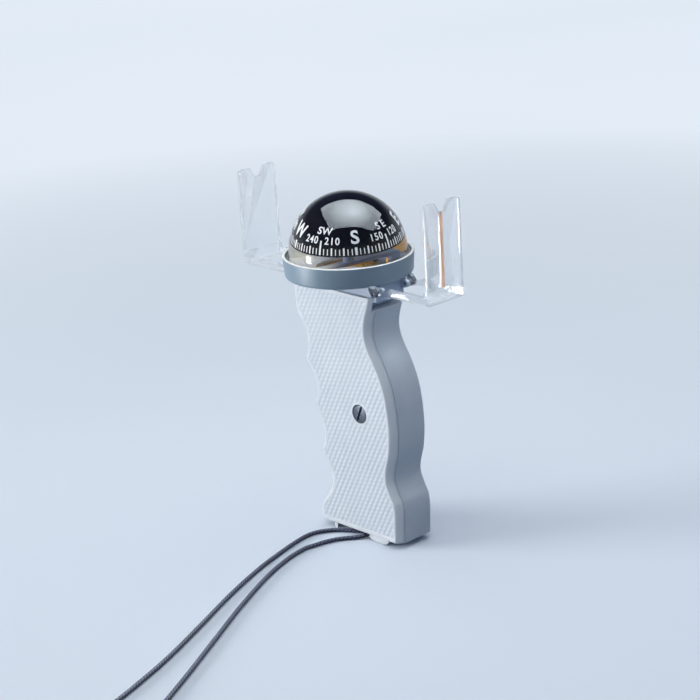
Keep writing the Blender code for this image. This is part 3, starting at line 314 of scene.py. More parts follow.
# fine tooth of a moulded surface, and slow patches of shade
mouldedGrain, given, result = newGroup("mouldedGrain", {"Grain Scale": 1800, "Patch Scale": 45},
                                       ("Height", "Patches"))
fine, slow = noiseNode(mouldedGrain, given["Grain Scale"], 3.0), noiseNode(mouldedGrain, given["Patch Scale"])
feed(mouldedGrain, result, {"Height": rangeNode(mouldedGrain, fine, 0.3, 0.7),
                            "Patches": rangeNode(mouldedGrain, slow, 0.35, 0.65)})

# rubbed corners: where the surface turns outwards, broken up by a noise
wornEdges, given, result = newGroup("wornEdges", {"Start": 0.53, "Full": 0.62}, ("Mask",))
edge = rangeNode(wornEdges, addNode(wornEdges, "NewGeometry")["Pointiness"], given["Start"], given["Full"])
broken = rangeNode(wornEdges, noiseNode(wornEdges, 420.0, 4.0), 0.35, 0.6)
feed(wornEdges, result, {"Mask": times(wornEdges, edge, broken, True)})


# dust: thin on faces that look up; and a mask of the hollows, which the finishes darken
def makeSettledDust():
    group, given, result = newGroup("dustAndHollows", {"Amount": 0.3, "Hollow": 0.47}, ("Mask", "Crevice"))
    facing = addNode(group, "SeparateXYZ", {0: coordinate(group, "Normal")})
    upward = rangeNode(group, facing["Z"], 0.2, 1.0)
    specks = rangeNode(group, noiseNode(group, 900.0, 4.0, rough=0.7), 0.45, 0.72)
    lying = times(group, upward, specks)
    bent = addNode(group, "NewGeometry")["Pointiness"]
    feed(group, result, {"Mask": times(group, lying, given["Amount"], True),
                         "Crevice": rangeNode(group, bent, given["Hollow"], 0.38)})
    return group


# hairline scratches in two directions
def makeFineScratches():
    group, given, result = newGroup("fineScratches", {"Density": 0.5}, ("Mask", "Height"))
    place = coordinate(group)
    lines = []
    for turn in ((0.3, 0.2, 0.9), (0.7, -0.4, 2.2)):
        mapping = addNode(group, "Mapping", {"Vector": place, "Rotation": turn, "Scale": (2600, 2600, 45)})
        lines.append(rangeNode(group, noiseNode(group, 1.0, 1.0, mapping[0]), 0.68, 0.78))
    where = rangeNode(group, noiseNode(group, 120.0), 0.45, 0.65)
    thin = times(group, mathNode(group, "MAXIMUM", *lines), where)
    thin = times(group, thin, given["Density"], True)
    feed(group, result, {"Mask": thin, "Height": times(group, thin, -1.0)})
    return group


dustAndHollows = makeSettledDust()
fineScratches = makeFineScratches()


def placeGroup(tree, group, values={}):
    node = tree.nodes.new("ShaderNodeGroup")
    node.node_tree = group
    return feed(tree, node, values).outputs


def newMaterial(name):
    material = bpy.data.materials.new(name)
    material.use_nodes = True
    return material, material.node_tree, material.node_tree.nodes["Principled BSDF"]


def addBump(tree, shader, height, strength, distance, **under):
    bump = addNode(tree, "Bump", {"Height": height, "Strength": strength, "Distance": distance, **under})[0]
    feed(tree, shader, {"Normal": bump})
    return bump


# what a plastic has unless its own settings say otherwise
plasticLook = {"wearStart": 0.53, "wearFull": 0.62, "wear": 0.4, "dust": 0.2, "scratches": 0.3,
               "hollowDarkening": 0.4, "tooth": 0.25, "ior": 1.5, "soft": 0.0}
# widths of the painted highlight on the band's lip and of the fade into the painted shade on its lugs
lipHighlightWidth, lugFade = 0.12 * mm, 0.4 * mm
paintedLightSide = (-0.735, 0.68, 0.0)    # the side where parts under the card get painted light: cream with a faint glow


# moulded plastic or rubber: patches, tooth, darkened hollows, worn edges, dust and scratches
def plastic(name, colour, shade, roughness, grainScale, wornColour, given):
    look = {**plasticLook, **given}
    material, tree, shader = newMaterial(name)
    grain = placeGroup(tree, mouldedGrain, {"Grain Scale": grainScale})
    edges = placeGroup(tree, wornEdges, {"Start": look["wearStart"], "Full": look["wearFull"]})
    dust = placeGroup(tree, dustAndHollows, {"Amount": look["dust"]})
    lines = placeGroup(tree, fineScratches, {"Density": look["scratches"]})
    colour = mixColour(tree, grain["Patches"], colour, shade)
    # the hollows are darkened towards a near black
    colour = mixColour(tree, times(tree, dust["Crevice"], look["hollowDarkening"]), colour, (0.10, 0.11, 0.12))
    height = addNode(tree, "SeparateXYZ", {0: coordinate(tree)})["Z"]
    if "groove" in look:    # the mesh says how deep the moulded texture is sunk; the grooves get a painted shade
        sunk = addNode(tree, "Attribute", attribute_name="sunk")["Fac"]
        depth = times(tree, rangeNode(tree, sunk, 0.15, 0.95), look["grooveShade"])
        colour = mixColour(tree, depth, colour, look["groove"])
    if "pale" in look:    # painted light: one side is painted cream and given a faint glow
        side = addNode(tree, "VectorMath", {0: coordinate(tree), 1: paintedLightSide}, operation="DOT_PRODUCT")
        pale = rangeNode(tree, side["Value"], 3 * mm, 10 * mm)
        colour = mixColour(tree, pale, colour, look["pale"])
        feed(tree, shader, {"Emission Color": mixColour(tree, pale, (0.0, 0.0, 0.0), look["pale"]),
                            "Emission Strength": look["glow"]})
    if "lipHighlightHeight" in look:    # a painted highlight on the lip round the top edge
        lip = rangeNode(tree, height, look["lipHighlightHeight"], look["lipHighlightHeight"] + lipHighlightWidth)
        colour = mixColour(tree, lip, colour, look["lip"])
    colour = mixColour(tree, times(tree, edges["Mask"], look["wear"]), colour, wornColour)
    colour = mixColour(tree, dust["Mask"], colour, (0.62, 0.62, 0.60))
    rough = rangeNode(tree, grain["Patches"], 0.0, 1.0, roughness - 0.05, roughness + 0.05)
    rough = mathNode(tree, "ADD", rough, times(tree, lines["Mask"], 0.15), True)
    if "lugHeight" in look:    # painted shade: the lugs below the ring are painted a darker slate, and made duller
        under = rangeNode(tree, height, look["lugHeight"], look["lugHeight"] - lugFade)
        colour = mixColour(tree, under, colour, look["lug"])
        rough = mathNode(tree, "ADD", rough, times(tree, under, 0.5), True)
    feed(tree, shader, {"Base Color": colour, "Roughness": rough, "IOR": look["ior"],
                        "Subsurface Weight": look["soft"], "Subsurface Radius": (0.8, 0.8, 0.8),
                        "Subsurface Scale": 1.2 * mm})
    normal = addBump(tree, shader, grain["Height"], look["tooth"], 0.03 * mm)
    addBump(tree, shader, lines["Height"], 0.3, 0.02 * mm, Normal=normal)
    return material


metalLook = {"streaks": (9000, 900, 9000), "wear": 0.5, "wornColour": (0.75, 0.76, 0.78), "metallic": 1.0}


# metal: brushed streaks along one axis, worn and a little dirty
def metal(name, colour, shade, roughness, given):
    look = {**metalLook, **given}
    material, tree, shader = newMaterial(name)
    mapping = addNode(tree, "Mapping", {"Vector": coordinate(tree), "Scale": look["streaks"]})
    streak = noiseNode(tree, 1.0, 2.0, mapping[0])
    grain = placeGroup(tree, mouldedGrain, {"Grain Scale": 2600.0, "Patch Scale": 220.0})
    lines = placeGroup(tree, fineScratches, {"Density": 0.6})
    worn = times(tree, placeGroup(tree, wornEdges)["Mask"], look["wear"])
    colour = mixColour(tree, worn, mixColour(tree, grain["Patches"], colour, shade), look["wornColour"])
    rough = rangeNode(tree, streak, 0.3, 0.7, roughness - 0.07, roughness + 0.09)
    rough = mathNode(tree, "ADD", rough, times(tree, lines["Mask"], 0.2), True)
    feed(tree, shader, {"Base Color": colour, "Roughness": rough, "Metallic": look["metallic"]})
    normal = addBump(tree, shader, streak, 0.12, 0.02 * mm)
    addBump(tree, shader, lines["Height"], 0.3, 0.02 * mm, Normal=normal)
    return material


# clear moulding: lamps shine through it, and hairlines catch the light
def clearPlastic(name, look):
    material, tree, shader = newMaterial(name)
    lines = placeGroup(tree, fineScratches, {"Density": look["scratches"]})
    dust = placeGroup(tree, dustAndHollows, {"Amount": look["dust"]})
    cloudy = mathNode(tree, "ADD", times(tree, lines["Mask"], 0.10),
                      times(tree, dust["Mask"], 0.25))
    feed(tree, shader, {"Base Color": mixColour(tree, lines["Mask"], look["colour"], (0.86, 0.88, 0.90)),
                        "Roughness": mathNode(tree, "ADD", cloudy, 0.0, True), "Transmission Weight": 1.0,
                        "IOR": look["ior"], "Alpha": look["alpha"]})
    addBump(tree, shader, lines["Height"], look["bump"], 0.01 * mm)
    through = addNode(tree, "BsdfTransparent", {"Color": look["shadow"]})
    mixShaders(tree, addNode(tree, "LightPath")["Is Shadow Ray"], shader.outputs[0], through[0])
    return material


# braided yarn: dark filaments with painted pale glints where the strands cross over
def yarn(name, look):
    material, tree, shader = newMaterial(name)
    grain = placeGroup(tree, mouldedGrain, {"Grain Scale": look["grain"], "Patch Scale": 300.0})
    dust = placeGroup(tree, dustAndHollows, {"Amount": 0.25, "Hollow": 0.49})
    raised = addNode(tree, "Attribute", attribute_name="crown")["Fac"]
    crown = rangeNode(tree, raised, 0.80, 1.0, 0.0, look["glint"])
    colour = mixColour(tree, grain["Patches"], look["colour"], look["shade"])
    # painted highlight on the crowns of the braid
    colour = mixColour(tree, crown, colour, look["crown"])
    feed(tree, shader, {"Base Color": mixColour(tree, dust["Mask"], colour, (0.12, 0.13, 0.16)),
                        "Roughness": rangeNode(tree, grain["Height"], 0, 1, 0.45, 0.75),
                        "Sheen Weight": 0.1, "Sheen Roughness": 0.4})
    addBump(tree, shader, grain["Height"], 0.5, 0.05 * mm)
    return material


# name, colour, shade, roughness, scale of the grain, colour where worn, and what differs from plasticLook
printed = {"dust": 0.0, "hollowDarkening": 0.0, "scratches": 0.0, "ior": 1.0}
plastics = {
    "grip": ("grip_plastic", (0.60, 0.655, 0.705), (0.555, 0.615, 0.67), 0.44, 2600, (0.74, 0.78, 0.81), {
        "tooth": 0.30, "wear": 0.5, "hollowDarkening": 0.35, "soft": 0.05,
        # groove and grooveShade: a painted shade in the texture's grooves
        "groove": (0.33, 0.40, 0.50), "grooveShade": 0.5}),
    "grip_cover": ("cover_plastic", (0.63, 0.675, 0.715), (0.585, 0.635, 0.68), 0.46, 2600, (0.76, 0.79, 0.82), {
        "wear": 0.35, "hollowDarkening": 0.30, "soft": 0.05, "wearStart": 0.55, "wearFull": 0.66,
        # groove and grooveShade: a painted shade in the texture's grooves
        "groove": (0.34, 0.42, 0.53), "grooveShade": 0.42}),
    "foot": ("foot_plastic", (0.60, 0.65, 0.69), (0.55, 0.60, 0.65), 0.48, 2200, (0.72, 0.75, 0.78), {"wear": 0.5}),
    # the hinge block is the grip's light plastic, painted darker and bluer as shade under the band
    "neck": ("grip_plastic_painted_shade", (0.36, 0.44, 0.56), (0.32, 0.40, 0.52), 0.42, 2400, (0.56, 0.61, 0.68), {}),
    # the band's slate colour is pushed a little bluer, as painted blue light from around it
    "band": ("band_plastic", (0.19, 0.27, 0.335), (0.165, 0.24, 0.305), 0.38, 2400, (0.36, 0.40, 0.41), {
        # the lip colour is a painted highlight along the band's top edge
        "tooth": 0.22, "wear": 0.5, "lipHighlightHeight": 148.15 * mm, "lip": (0.80, 0.79, 0.74),
        # below this height the lugs take a painted shade
        "lugHeight": 137.9 * mm, "lug": (0.065, 0.078, 0.115)}),
    "card": ("card_black", (0.005, 0.005, 0.007), (0.008, 0.008, 0.011), 0.40, 3000, (0.015, 0.015, 0.018), {
        **printed, "tooth": 0.10}),
    "marks": ("card_white", (0.86, 0.87, 0.86), (0.80, 0.81, 0.80), 0.45, 3200, (0.88, 0.88, 0.88), {
        **printed, "tooth": 0.08}),
    "card_float": ("float_plastic", (0.03, 0.03, 0.034), (0.02, 0.02, 0.024), 0.45, 2200, (0.05, 0.05, 0.05), {
        "dust": 0.0}),
    "orange": ("line_paint", (0.80, 0.36, 0.12), (0.72, 0.30, 0.09), 0.42, 2400, (0.86, 0.50, 0.24), {"dust": 0.05}),
    "amber": ("amber_plastic", (0.78, 0.40, 0.07), (0.68, 0.32, 0.05), 0.25, 1800, (0.92, 0.62, 0.24), {
        # pale and glow: a painted lit side, cream with a faint glow
        "tooth": 0.08, "dust": 0.0, "soft": 0.3, "ior": 1.1, "pale": (0.90, 0.89, 0.82), "glow": 0.10}),
    # the bowl's slate blue is a painted reflection of a blue backdrop; pale and glow paint a lit cream side
    "cream": ("bowl_plastic", (0.26, 0.32, 0.47), (0.30, 0.36, 0.50), 0.35, 2000, (0.50, 0.52, 0.60), {
        "tooth": 0.12, "dust": 0.0, "hollowDarkening": 0.1, "soft": 0.15, "ior": 1.15, "pale": (0.95, 0.94, 0.90),
        "glow": 0.19}),
    "rubber": ("seal_rubber", (0.030, 0.031, 0.034), (0.022, 0.023, 0.026), 0.62, 1800, (0.08, 0.08, 0.085), {
        "dust": 0.3}),
    "button": ("button_rubber", (0.026, 0.028, 0.032), (0.020, 0.021, 0.025), 0.52, 1900, (0.09, 0.095, 0.10), {
        "dust": 0.3, "tooth": 0.4}),
    "board": ("board_laminate", (0.21, 0.13, 0.07), (0.17, 0.10, 0.05), 0.55, 900, (0.34, 0.24, 0.14), {}),
    "cell": ("cell_wrap", (0.045, 0.07, 0.15), (0.035, 0.055, 0.12), 0.30, 1500, (0.30, 0.31, 0.33), {"tooth": 0.1}),
    "wire": ("wire_sleeve", (0.50, 0.04, 0.03), (0.42, 0.03, 0.02), 0.42, 1600, (0.60, 0.12, 0.10), {}),
}
finishes = {key: plastic(*row) for key, row in plastics.items()}
finishes["steel"] = metal("plain_steel", (0.50, 0.51, 0.53), (0.42, 0.43, 0.45), 0.30, {})
finishes["screw"] = metal("blackened_screw", (0.105, 0.125, 0.155), (0.075, 0.09, 0.12), 0.34, {
    "metallic": 0.8, "wornColour": (0.42, 0.46, 0.50), "wear": 0.6, "streaks": (400, 7000, 500)})
finishes["brass"] = metal("turned_brass", (0.72, 0.54, 0.24), (0.62, 0.44, 0.18), 0.32, {
    "wornColour": (0.86, 0.72, 0.42)})
finishes["clear"] = clearPlastic("sight_acrylic", {
    "colour": (0.945, 0.972, 0.99), "ior": 1.42, "scratches": 0.15, "dust": 0.08, "alpha": 0.45, "bump": 0.15,
    "shadow": (0.92, 0.95, 0.97)})
finishes["dome"] = clearPlastic("dome_acrylic", {
    "colour": (0.995, 0.997, 1.0), "ior": 1.38, "scratches": 0.0, "dust": 0.0, "alpha": 1.0, "bump": 0.0,
    "shadow": (0.97, 0.98, 0.99)})
finishes["cord"] = yarn("lanyard_yarn", {
    "colour": (0.003, 0.004, 0.014), "shade": (0.006, 0.007, 0.024), "crown": (0.17, 0.21, 0.42), "glint": 0.8,
    "grain": 5200.0})
print("finishes mixed")

# the lanyard: one braided cord, out of the foot, along the floor and back
lanyard = {
    "radius": 1.1 * mm, "length": 0.5553, "exit": (-0.0016, -0.0100, 0.0023), "return": (-0.0016, -0.0128, 0.0023),
    "rings": 1700, "sides": 20,
    "strands": 3,          # strands that run each way round
    "pitch": 6.6 * mm,     # length of one turn of a strand
    "relief": 0.26,        # share of the radius that the braid stands up
    "floorRun": 1.14 * mm,
    "out": metres([(-3.8, -10, 2.3), (-5.2, -9.1, 2), (-7.6, -6.4, 1.6), (-10, -2, 1.3)]),
    "floor": metres([
        (-13, 3.6), (-17.6, 8.6), (-23.2, 11.7), (-29, 12.5), (-35.2, 11.7), (-41.2, 10.4), (-47.4, 8.8), (-70, 2),
        (-100, -10), (-132, -25), (-164, -39.5), (-195, -51), (-220, -59), (-238, -66), (-247, -75.5), (-244, -86),
        (-234, -90), (-222, -87), (-200, -76), (-170, -60), (-138, -42), (-106, -24), (-76, -9), (-56, -1.5),
        (-41, 1.4), (-34.6, 0.4), (-28.6, -0.8), (-22.8, -3), (-18, -6.4)]),
    "back": metres([(-13.6, -10, 1.3), (-9, -12.2, 1.7), (-5.8, -12.7, 2), (-3.8, -12.8, 2.3)]),
}
hitch = {**metres({"radius": 1.08, "bar": (-1.0, 4.6), "turn": 2.3, "strands": (-10.0, -12.8)}), "sweep": 250}


def braidHeight(angle, along):
    turn = 2 * math.pi * along / lanyard["pitch"]
    n = lanyard["strands"]
    return max(abs(math.cos((n * angle + n * turn) / 2)), 0.86 * abs(math.cos((n * angle - n * turn) / 2)))


def braidedMesh(path, radius):
    rings, crowns = [], []
    normal = Vector((0, 0, 1))
    run = runLengths(path)
    for i, point in enumerate(path):
        heading = (path[min(i + 1, len(path) - 1)] - path[max(i - 1, 0)]).normalized()
        normal = (normal - heading * normal.dot(heading)).normalized()
        side = heading.cross(normal)
        ring = []
        for k in range(lanyard["sides"]):
            angle = 2 * math.pi * k / lanyard["sides"]
            height = braidHeight(angle, run[i])
            r = radius * (1 - lanyard["relief"] * (1 - height ** 0.7))
            crowns.append(height)
            ring.append(point + (normal * math.cos(angle) + side * math.sin(angle)) * r)
        rings.append(ring)
    mesh = skinnedMesh(rings)
    mesh.attributes.new("crown", "FLOAT", "POINT").data.foreach_set("value", crowns)
    return mesh


floorPoints = [(x, y, lanyard["floorRun"]) for x, y in lanyard["floor"]]
cordPath = ([Vector(lanyard["exit"])] + smoothRoute(lanyard["out"] + floorPoints + lanyard["back"], lanyard["rings"])
            + [Vector(lanyard["return"])])
cordPiece = addPiece("lanyard_cord", braidedMesh(cordPath, lanyard["radius"]), "grip", "cord", "lanyard",
                     angle=60)
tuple(lanyard["exit"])


def hitchPath(look):
    barX, barZ = look["bar"]
    near, far = look["strands"]
    loop = [Vector((x, near, z)) for x, z in arc(barX, barZ, look["turn"], -90, look["sweep"] - 90, 48)]
    end = loop[-1]
    middle = [Vector((end.x - 0.2 * mm, near + (far - near) * s, end.z - 0.1 * mm)) for s in (0.25, 0.5, 0.75)]
    return loop + middle + [Vector((p.x, far, p.z)) for p in reversed(loop)]


addPiece("lanyard_loop", braidedMesh(hitchPath(hitch), hitch["radius"]), "grip", "cord", "lanyard_hitch",
         angle=60)
print("lanyard laid")

# the grip: a body and a side cover, both lofted from the same outline
gripForm = {**metres({
    "foot": 3.4, "bodyTop": 124.3, "coverTop": 131.0, "faceX": 12.0, "seamX": -7.8, "seamChamfer": 0.35,
    "frontRound": 1.9, "footRound": 0.8, "wall": 2.2, "coverWall": 2.0, "level": 0.30,
    "coverRear": (3.2, 3.1, 3.45),    # back from the edge, depth of the bevel, depth of the roll
    "bodyRear": (1.7, 1.5, 1.7),
}), "columns": 168}
# how high up the grip, in thousandths, and how far forward, in millimetres
frontOutline = [
    (0, 19.0), (20, 19.8), (47, 19.7), (78, 18.1), (114, 14.5), (156, 11.0), (193, 9.9), (232, 11.3), (274, 14.4),
    (306, 16.6), (335, 14.9), (372, 13.9), (412, 14.6), (455, 17.2), (494, 19.4), (530, 18.0), (564, 17.0),
    (600, 17.6), (633, 19.6), (661, 22.5), (683, 24.2), (710, 23.1), (744, 22.3), (781, 22.2), (820, 23.8),
    (855, 26.7), (892, 29.2), (1000, 29.7),
]
rearOutline = [
    (0, -37.6), (67, -38.0), (122, -38.4), (169, -37.7), (208, -35.2), (252, -33.0), (295, -33.3), (365, -35.9),
    (444, -37.2), (506, -37.1), (577, -36.2), (640, -34.5), (690, -32.1), (734, -29.2), (784, -25.4), (828, -23.3),
    (867, -23.0), (910, -24.2), (953, -26.2), (1000, -28.0),
]
frontKnots, rearKnots = metres(frontOutline), metres(rearOutline)
# raised dashes that lean forward as they rise
texture = metres({
    "across": (-3.40, 0.62),    # from one dash to the next in a row
    "along": (1.35, -2.45),     # from one dash to the one under it
    "relief": 0.21, "frontBorder": 0.5, "rearBorder": 0.45, "footBorder": 2.2, "topBorder": 1.6, "fade": 0.5,
    "screwClear": 5.7,
})
screwHead = {**metres({"y": -13.8, "z": 68.6, "radius": 4.75, "height": 1.6, "slotWidth": 1.3, "slotDepth": 0.8,
                       "shank": 1.5, "length": 14.0, "crown": 0.35}), "tilt": 22}
faceX, seamX, wall = gripForm["faceX"], gripForm["seamX"], gripForm["wall"]
footZ, bodyTop, coverTop = gripForm["foot"], gripForm["bodyTop"], gripForm["coverTop"]
screwY, screwZ, screwR = screwHead["y"], screwHead["z"], screwHead["radius"]


def gripEdge(knots, z):
    share = min(max((z - footZ) / (coverTop - footZ), 0), 1)
    before, after = max(share - 0.002, 0), min(share + 0.002, 1)
    slope = (splineValue(knots, after) - splineValue(knots, before)) / ((after - before) * (coverTop - footZ))
    return splineValue(knots, share), math.hypot(1, slope)


def gripEdges(z):
    return *gripEdge(frontKnots, z), *gripEdge(rearKnots, z)


def ease(value, start, fade):
    t = min(max((value - start) / fade, 0), 1)
    return t * t * (3 - 2 * t)


def dashSink(y, z, frontLimit, rearLimit, top):
    (ax, az), (bx, bz) = texture["across"], texture["along"]
    y0, z0 = y - screwY, z - screwZ
    det = ax * bz - az * bx
    u, v = (y0 * bz - z0 * bx) / det, (ax * z0 - az * y0) / det
    ridge = (math.cos(math.pi * u) ** 2) ** 0.8
    dash = ridge * (0.50 + 0.50 * math.cos(math.pi * v) ** 2)
    fade = texture["fade"]
    mask = ease(frontLimit - y, texture["frontBorder"], fade) * ease(y - rearLimit, texture["rearBorder"], fade)
    mask *= ease(z - footZ, texture["footBorder"], fade) * ease(top - z, texture["topBorder"], fade)
    mask *= ease(math.hypot(y0, z0), texture["screwClear"], fade)
    return texture["relief"] * (1 - dash) * mask


# one half of the grip: loops at many heights, from the seam over the outer face and back
def gripHalf(side, top, rearEdge):
    seam = seamX + side * gap / 2
    depth = abs(side * faceX - seam)
    chamfer, footRound = gripForm["seamChamfer"], gripForm["footRound"]
    frontRound, columns = gripForm["frontRound"], gripForm["columns"]
    rearRound, bevelDeep, rearDeep = rearEdge
    count = round((top - footZ) / gripForm["level"])
    heights = [footZ + (top - footZ) * i / count for i in range(count + 1)]
    heights = sorted(set(heights + [footZ + footRound * s for s in (0.08, 0.2, 0.4, 0.7, 1.0)]))
    heights = [z for i, z in enumerate(heights) if i == 0 or z - heights[i - 1] > 0.04 * mm]
    rings = []
    for z in heights:
        yFront, leanFront, yRear, leanRear = gripEdges(z)
        low = min(z - footZ, footRound)
        pull = footRound - math.sqrt(max(footRound ** 2 - (footRound - low) ** 2, 0))
        face = depth - max(pull, 0.25 * mm - (top - z), 0)
        ring = [(yFront - chamfer * leanFront, 0), (yFront, chamfer)]
        ring += [(yFront - leanFront * (frontRound - u), face - frontRound + v)
                 for u, v in arc(0, 0, frontRound, 0, 90, 6)]
        start, end = yFront - frontRound * leanFront, yRear + rearRound * leanRear
        for i in range(1, columns):
            y = start + (end - start) * i / columns
            ring.append((y, face - dashSink(y, z, start, end, top)))
        for i in range(9):    # a bevel that starts with a crisp edge and rolls into the rear face
            t = i / 8
            ring.append((yRear + rearRound * leanRear * (1 - t) ** 2,
                         face - 2 * t * (1 - t) * bevelDeep - t * t * rearDeep))
        ring += [(yRear, chamfer), (yRear + chamfer * leanRear, 0)]
        rings.append([(seam + side * t, y, z) for y, t in ring])
    return skinnedMesh(rings)


# how deep the texture lies, kept on the mesh for the painted shade in the grooves
def noteTexture(piece, rearEdge):
    depths = piece.data.attributes.new("sunk", "FLOAT", "POINT")
    limits = {}
    for number, vert in enumerate(piece.data.vertices):
        x, y, z = vert.co
        sink = faceX - abs(x)
        if sink > texture["relief"] * 1.05 or sink < 0.01 * mm:
            continue
        key = round(z, 5)
        if key not in limits:
            yFront, leanFront, yRear, leanRear = gripEdges(z)
            limits[key] = (yFront - gripForm["frontRound"] * leanFront, yRear + rearEdge[0] * leanRear)
        front, rear = limits[key]
        if rear < y < front:
            depths.data[number].value = sink / texture["relief"]


def gripHollow(lowX, highX):
    low, high = footZ + wall, bodyTop - wall
    heights = [low + (high - low) * i / 60 for i in range(61)]
    edges = [(z, *gripEdges(z)) for z in heights]
    front = [(y - wall * lean, z) for z, y, lean, _, _ in edges]
    return prismMesh(front + [(y + wall * lean, z) for z, _, _, y, lean in reversed(edges)], "X", lowX, highX)


def screwRod(low, high, radius, steps=64):
    return rodMesh("X", screwY, screwZ, low, high, radius, steps)


bossFace, coverInside = -6.0 * mm, -faceX + gripForm["coverWall"]
coverPiece = addPiece(
    "side_plate", gripHalf(-1, coverTop, gripForm["coverRear"]), "grip", "grip_cover", "side_cover",
    cut(gripHollow(coverInside, seamX + 2 * mm)),
    cut(boxMesh((coverInside, 20 * mm), (-50 * mm, 50 * mm), (bodyTop, coverTop + 10 * mm))),
    join(screwRod(-faceX + gripForm["coverWall"] / 2, bossFace - gap, screwR + 1.5 * mm)),
    cut(screwRod(-faceX - mm, -faceX + screwHead["height"] + gap / 2, screwR + gap)),
    cut(screwRod(-faceX, bossFace + mm, screwHead["shank"] + gap, 32)), angle=48)
noteTexture(coverPiece, gripForm["coverRear"])
print("side cover lofted", len(coverPiece.data.polygons))

buttonForm = metres({"z": 100.5, "radius": 4.9, "proud": 2.2, "flange": 6.4, "stem": 1.6})
neckScrewY, headScrewY, threadR = 14.5 * mm, 26.2 * mm, 1.5 * mm
bodyPiece = addPiece(
    "grip_half", gripHalf(1, bodyTop, gripForm["bodyRear"]), "grip", "grip", "grip_body",
    cut(gripHollow(seamX - 2 * mm, faceX - wall)),
    join(screwRod(bossFace, faceX - wall / 2, 4.2 * mm)),
    cut(screwRod(bossFace - mm, bossFace + 8 * mm + gap, 2.6 * mm + gap, 32)),
    cut(screwRod(bossFace, -faceX + screwHead["length"] + 3 * gap, 1.5 * mm + gap, 32)),
    cut(boxMesh((seamX - mm, 9.3 * mm), (-20.3 * mm, 10.8 * mm), (footZ - mm, footZ + wall + mm))),
    cut(rodMesh("Y", 0, buttonForm["z"], 15 * mm, 30 * mm, buttonForm["radius"] + gap, 64)),
    *[cut(rodMesh("Z", 0, y, bodyTop - 3.2 * mm, bodyTop + mm, radius))
      for y, radius in ((neckScrewY, threadR), (-neckScrewY, threadR), (0, 3 * mm))], angle=48)
noteTexture(bodyPiece, gripForm["bodyRear"])
print("grip body lofted", len(bodyPiece.data.polygons))


# the slotted screw in the cover, with a low crown and a turned edge
def screwMesh(look):
    r, h, crown, shank = look["radius"], look["height"] - gap, look["crown"], look["shank"]
    top = [(0, crown)] + [(r * 0.25 * i, crown * (1 - (0.25 * i) ** 2)) for i in (1, 2, 3)]
    edge = metres([(4.4, 0.08), (4.63, -0.05), (4.75, -0.25)]) + [(r, -h)]
    end = -look["length"]
    tip = [(shank, -h), (shank, end + 0.5 * mm), (shank - 0.5 * mm, end), (0, end)]
    return turnedMesh(top + edge + tip, 72)


slotHalf = screwHead["slotWidth"] / 2
screwSlot = boxMesh((-slotHalf, slotHalf), (-9 * mm, 9 * mm), (-screwHead["slotDepth"], 3 * mm))
screwPiece = addPiece("slotted_screw", screwMesh(screwHead), "grip", "screw", "cover_screw",
                      cut(screwSlot), bevel(0.09 * mm, 2, 50), angle=40)
# local Z points out of the cover, local Y along the slot
out = Vector((-1, 0, 0))
tilt = math.radians(screwHead["tilt"])
alongSlot = Vector((0, -math.sin(tilt), math.cos(tilt)))
screwTurn = Matrix((alongSlot.cross(out), alongSlot, out)).transposed().to_4x4()
screwFace = -faceX + gap / 2 + 0.15 * mm
screwPiece.data.transform(Matrix.Translation((screwFace, screwY, screwZ)) @ screwTurn)

# the foot under the grip: a rear block with rounded lower corners, a front bar, a plug up into the grip
footForm = metres({"half": 11.2, "height": 3.1, "rear": (-29.0, -15.0), "round": 2.9, "front": (9.4, 11.4),
                   "frontHalf": 10.6})


def footOutline(look):
    (low, high), height = look["rear"], look["height"]
    outline = [(low, height)]
    for u, v in arc(0, 0, 1, 180, 360, 32):    # a lens under the grip, flat only where it stands
        reach = math.copysign(abs(u) ** 0.8, u)
        outline.append(((low + high) / 2 + reach * (high - low) / 2, look["round"] * (1 - abs(v) ** 0.9)))
    return outline + [(high, height)]


addPiece(
    "foot_block", prismMesh(footOutline(footForm), "X", -footForm["half"], footForm["half"]),
    "grip", "foot", "foot_piece", bevel(0.35 * mm, 3, 50),
    join(boxMesh(*metres([(-7, 9), (-20, 10.5), (2.1, 10)]))),
    join(boxMesh((-footForm["frontHalf"], footForm["frontHalf"]), footForm["front"], (0, footForm["height"]))),
    cut(boxMesh(*metres([(-5.6, 6.2), (-14.5, 8.8), (-1, 8.7)]))),
    cut(boxMesh(*metres([(-8, -4.6), (-14.5, 8.8), (-1, 3.4)]))),
    cut(rodMesh("Y", *metres((-1, 4.6, -16.7, 10.1, 1.2)), 32)), angle=40)
print("screw and foot made")

# the band round the capsule, with its four hinge lugs
bandForm = metres({"bottom": 137.9, "lip": [(31.5, 148.15), (31.62, 148.4), (31.85, 148.5)],
                   "edge": (32.45, 147.95, 0.55), "lowEdge": (31.25, 139.0, 1.1),
                   "floor": [(24.3, 137.9), (24, 138.2), (24, 139.9), (31.5, 139.9)]})
hingeForm = metres({"y": 31.0, "z": 135.1, "knuckle": 2.0, "hole": 0.9, "pin": 0.6})
bottom = bandForm["bottom"]
hy, hz, knuckle = hingeForm["y"], hingeForm["z"], hingeForm["knuckle"]
bandProfile = (bandForm["lip"] + arc(*bandForm["edge"], 90, 0, 6) + arc(*bandForm["lowEdge"], 0, -90, 8)
               + bandForm["floor"])
lugOutline = arc(hy, hz, knuckle, 60, -120, 14) + metres([(28.1, 136.5), (28.1, 138.7), (30.5, 138.7)])


def pinHole(y, z, steps=24):
    return cut(rodMesh("X", y, z, -20 * mm, 20 * mm, hingeForm["hole"], steps))


# two of everything, at the front and mirrored at the rear
def ears(outline, places, width):
    return [join(prismMesh([(side * y, z) for y, z in outline], "X", x, x + width))
            for side in (1, -1) for x in places]


bandSteps = ears(lugOutline, (-14.3 * mm, 12.3 * mm), 2.0 * mm)
for side in (1, -1):
    bandSteps += [pinHole(side * hy, hz),
                  cut(rodMesh("Z", 0, side * headScrewY, bottom - mm, bottom + 3 * mm, threadR))]
addPiece("band_shell", turnedMesh(bandProfile, 192, True), "grip", "band", "housing_band", *bandSteps)

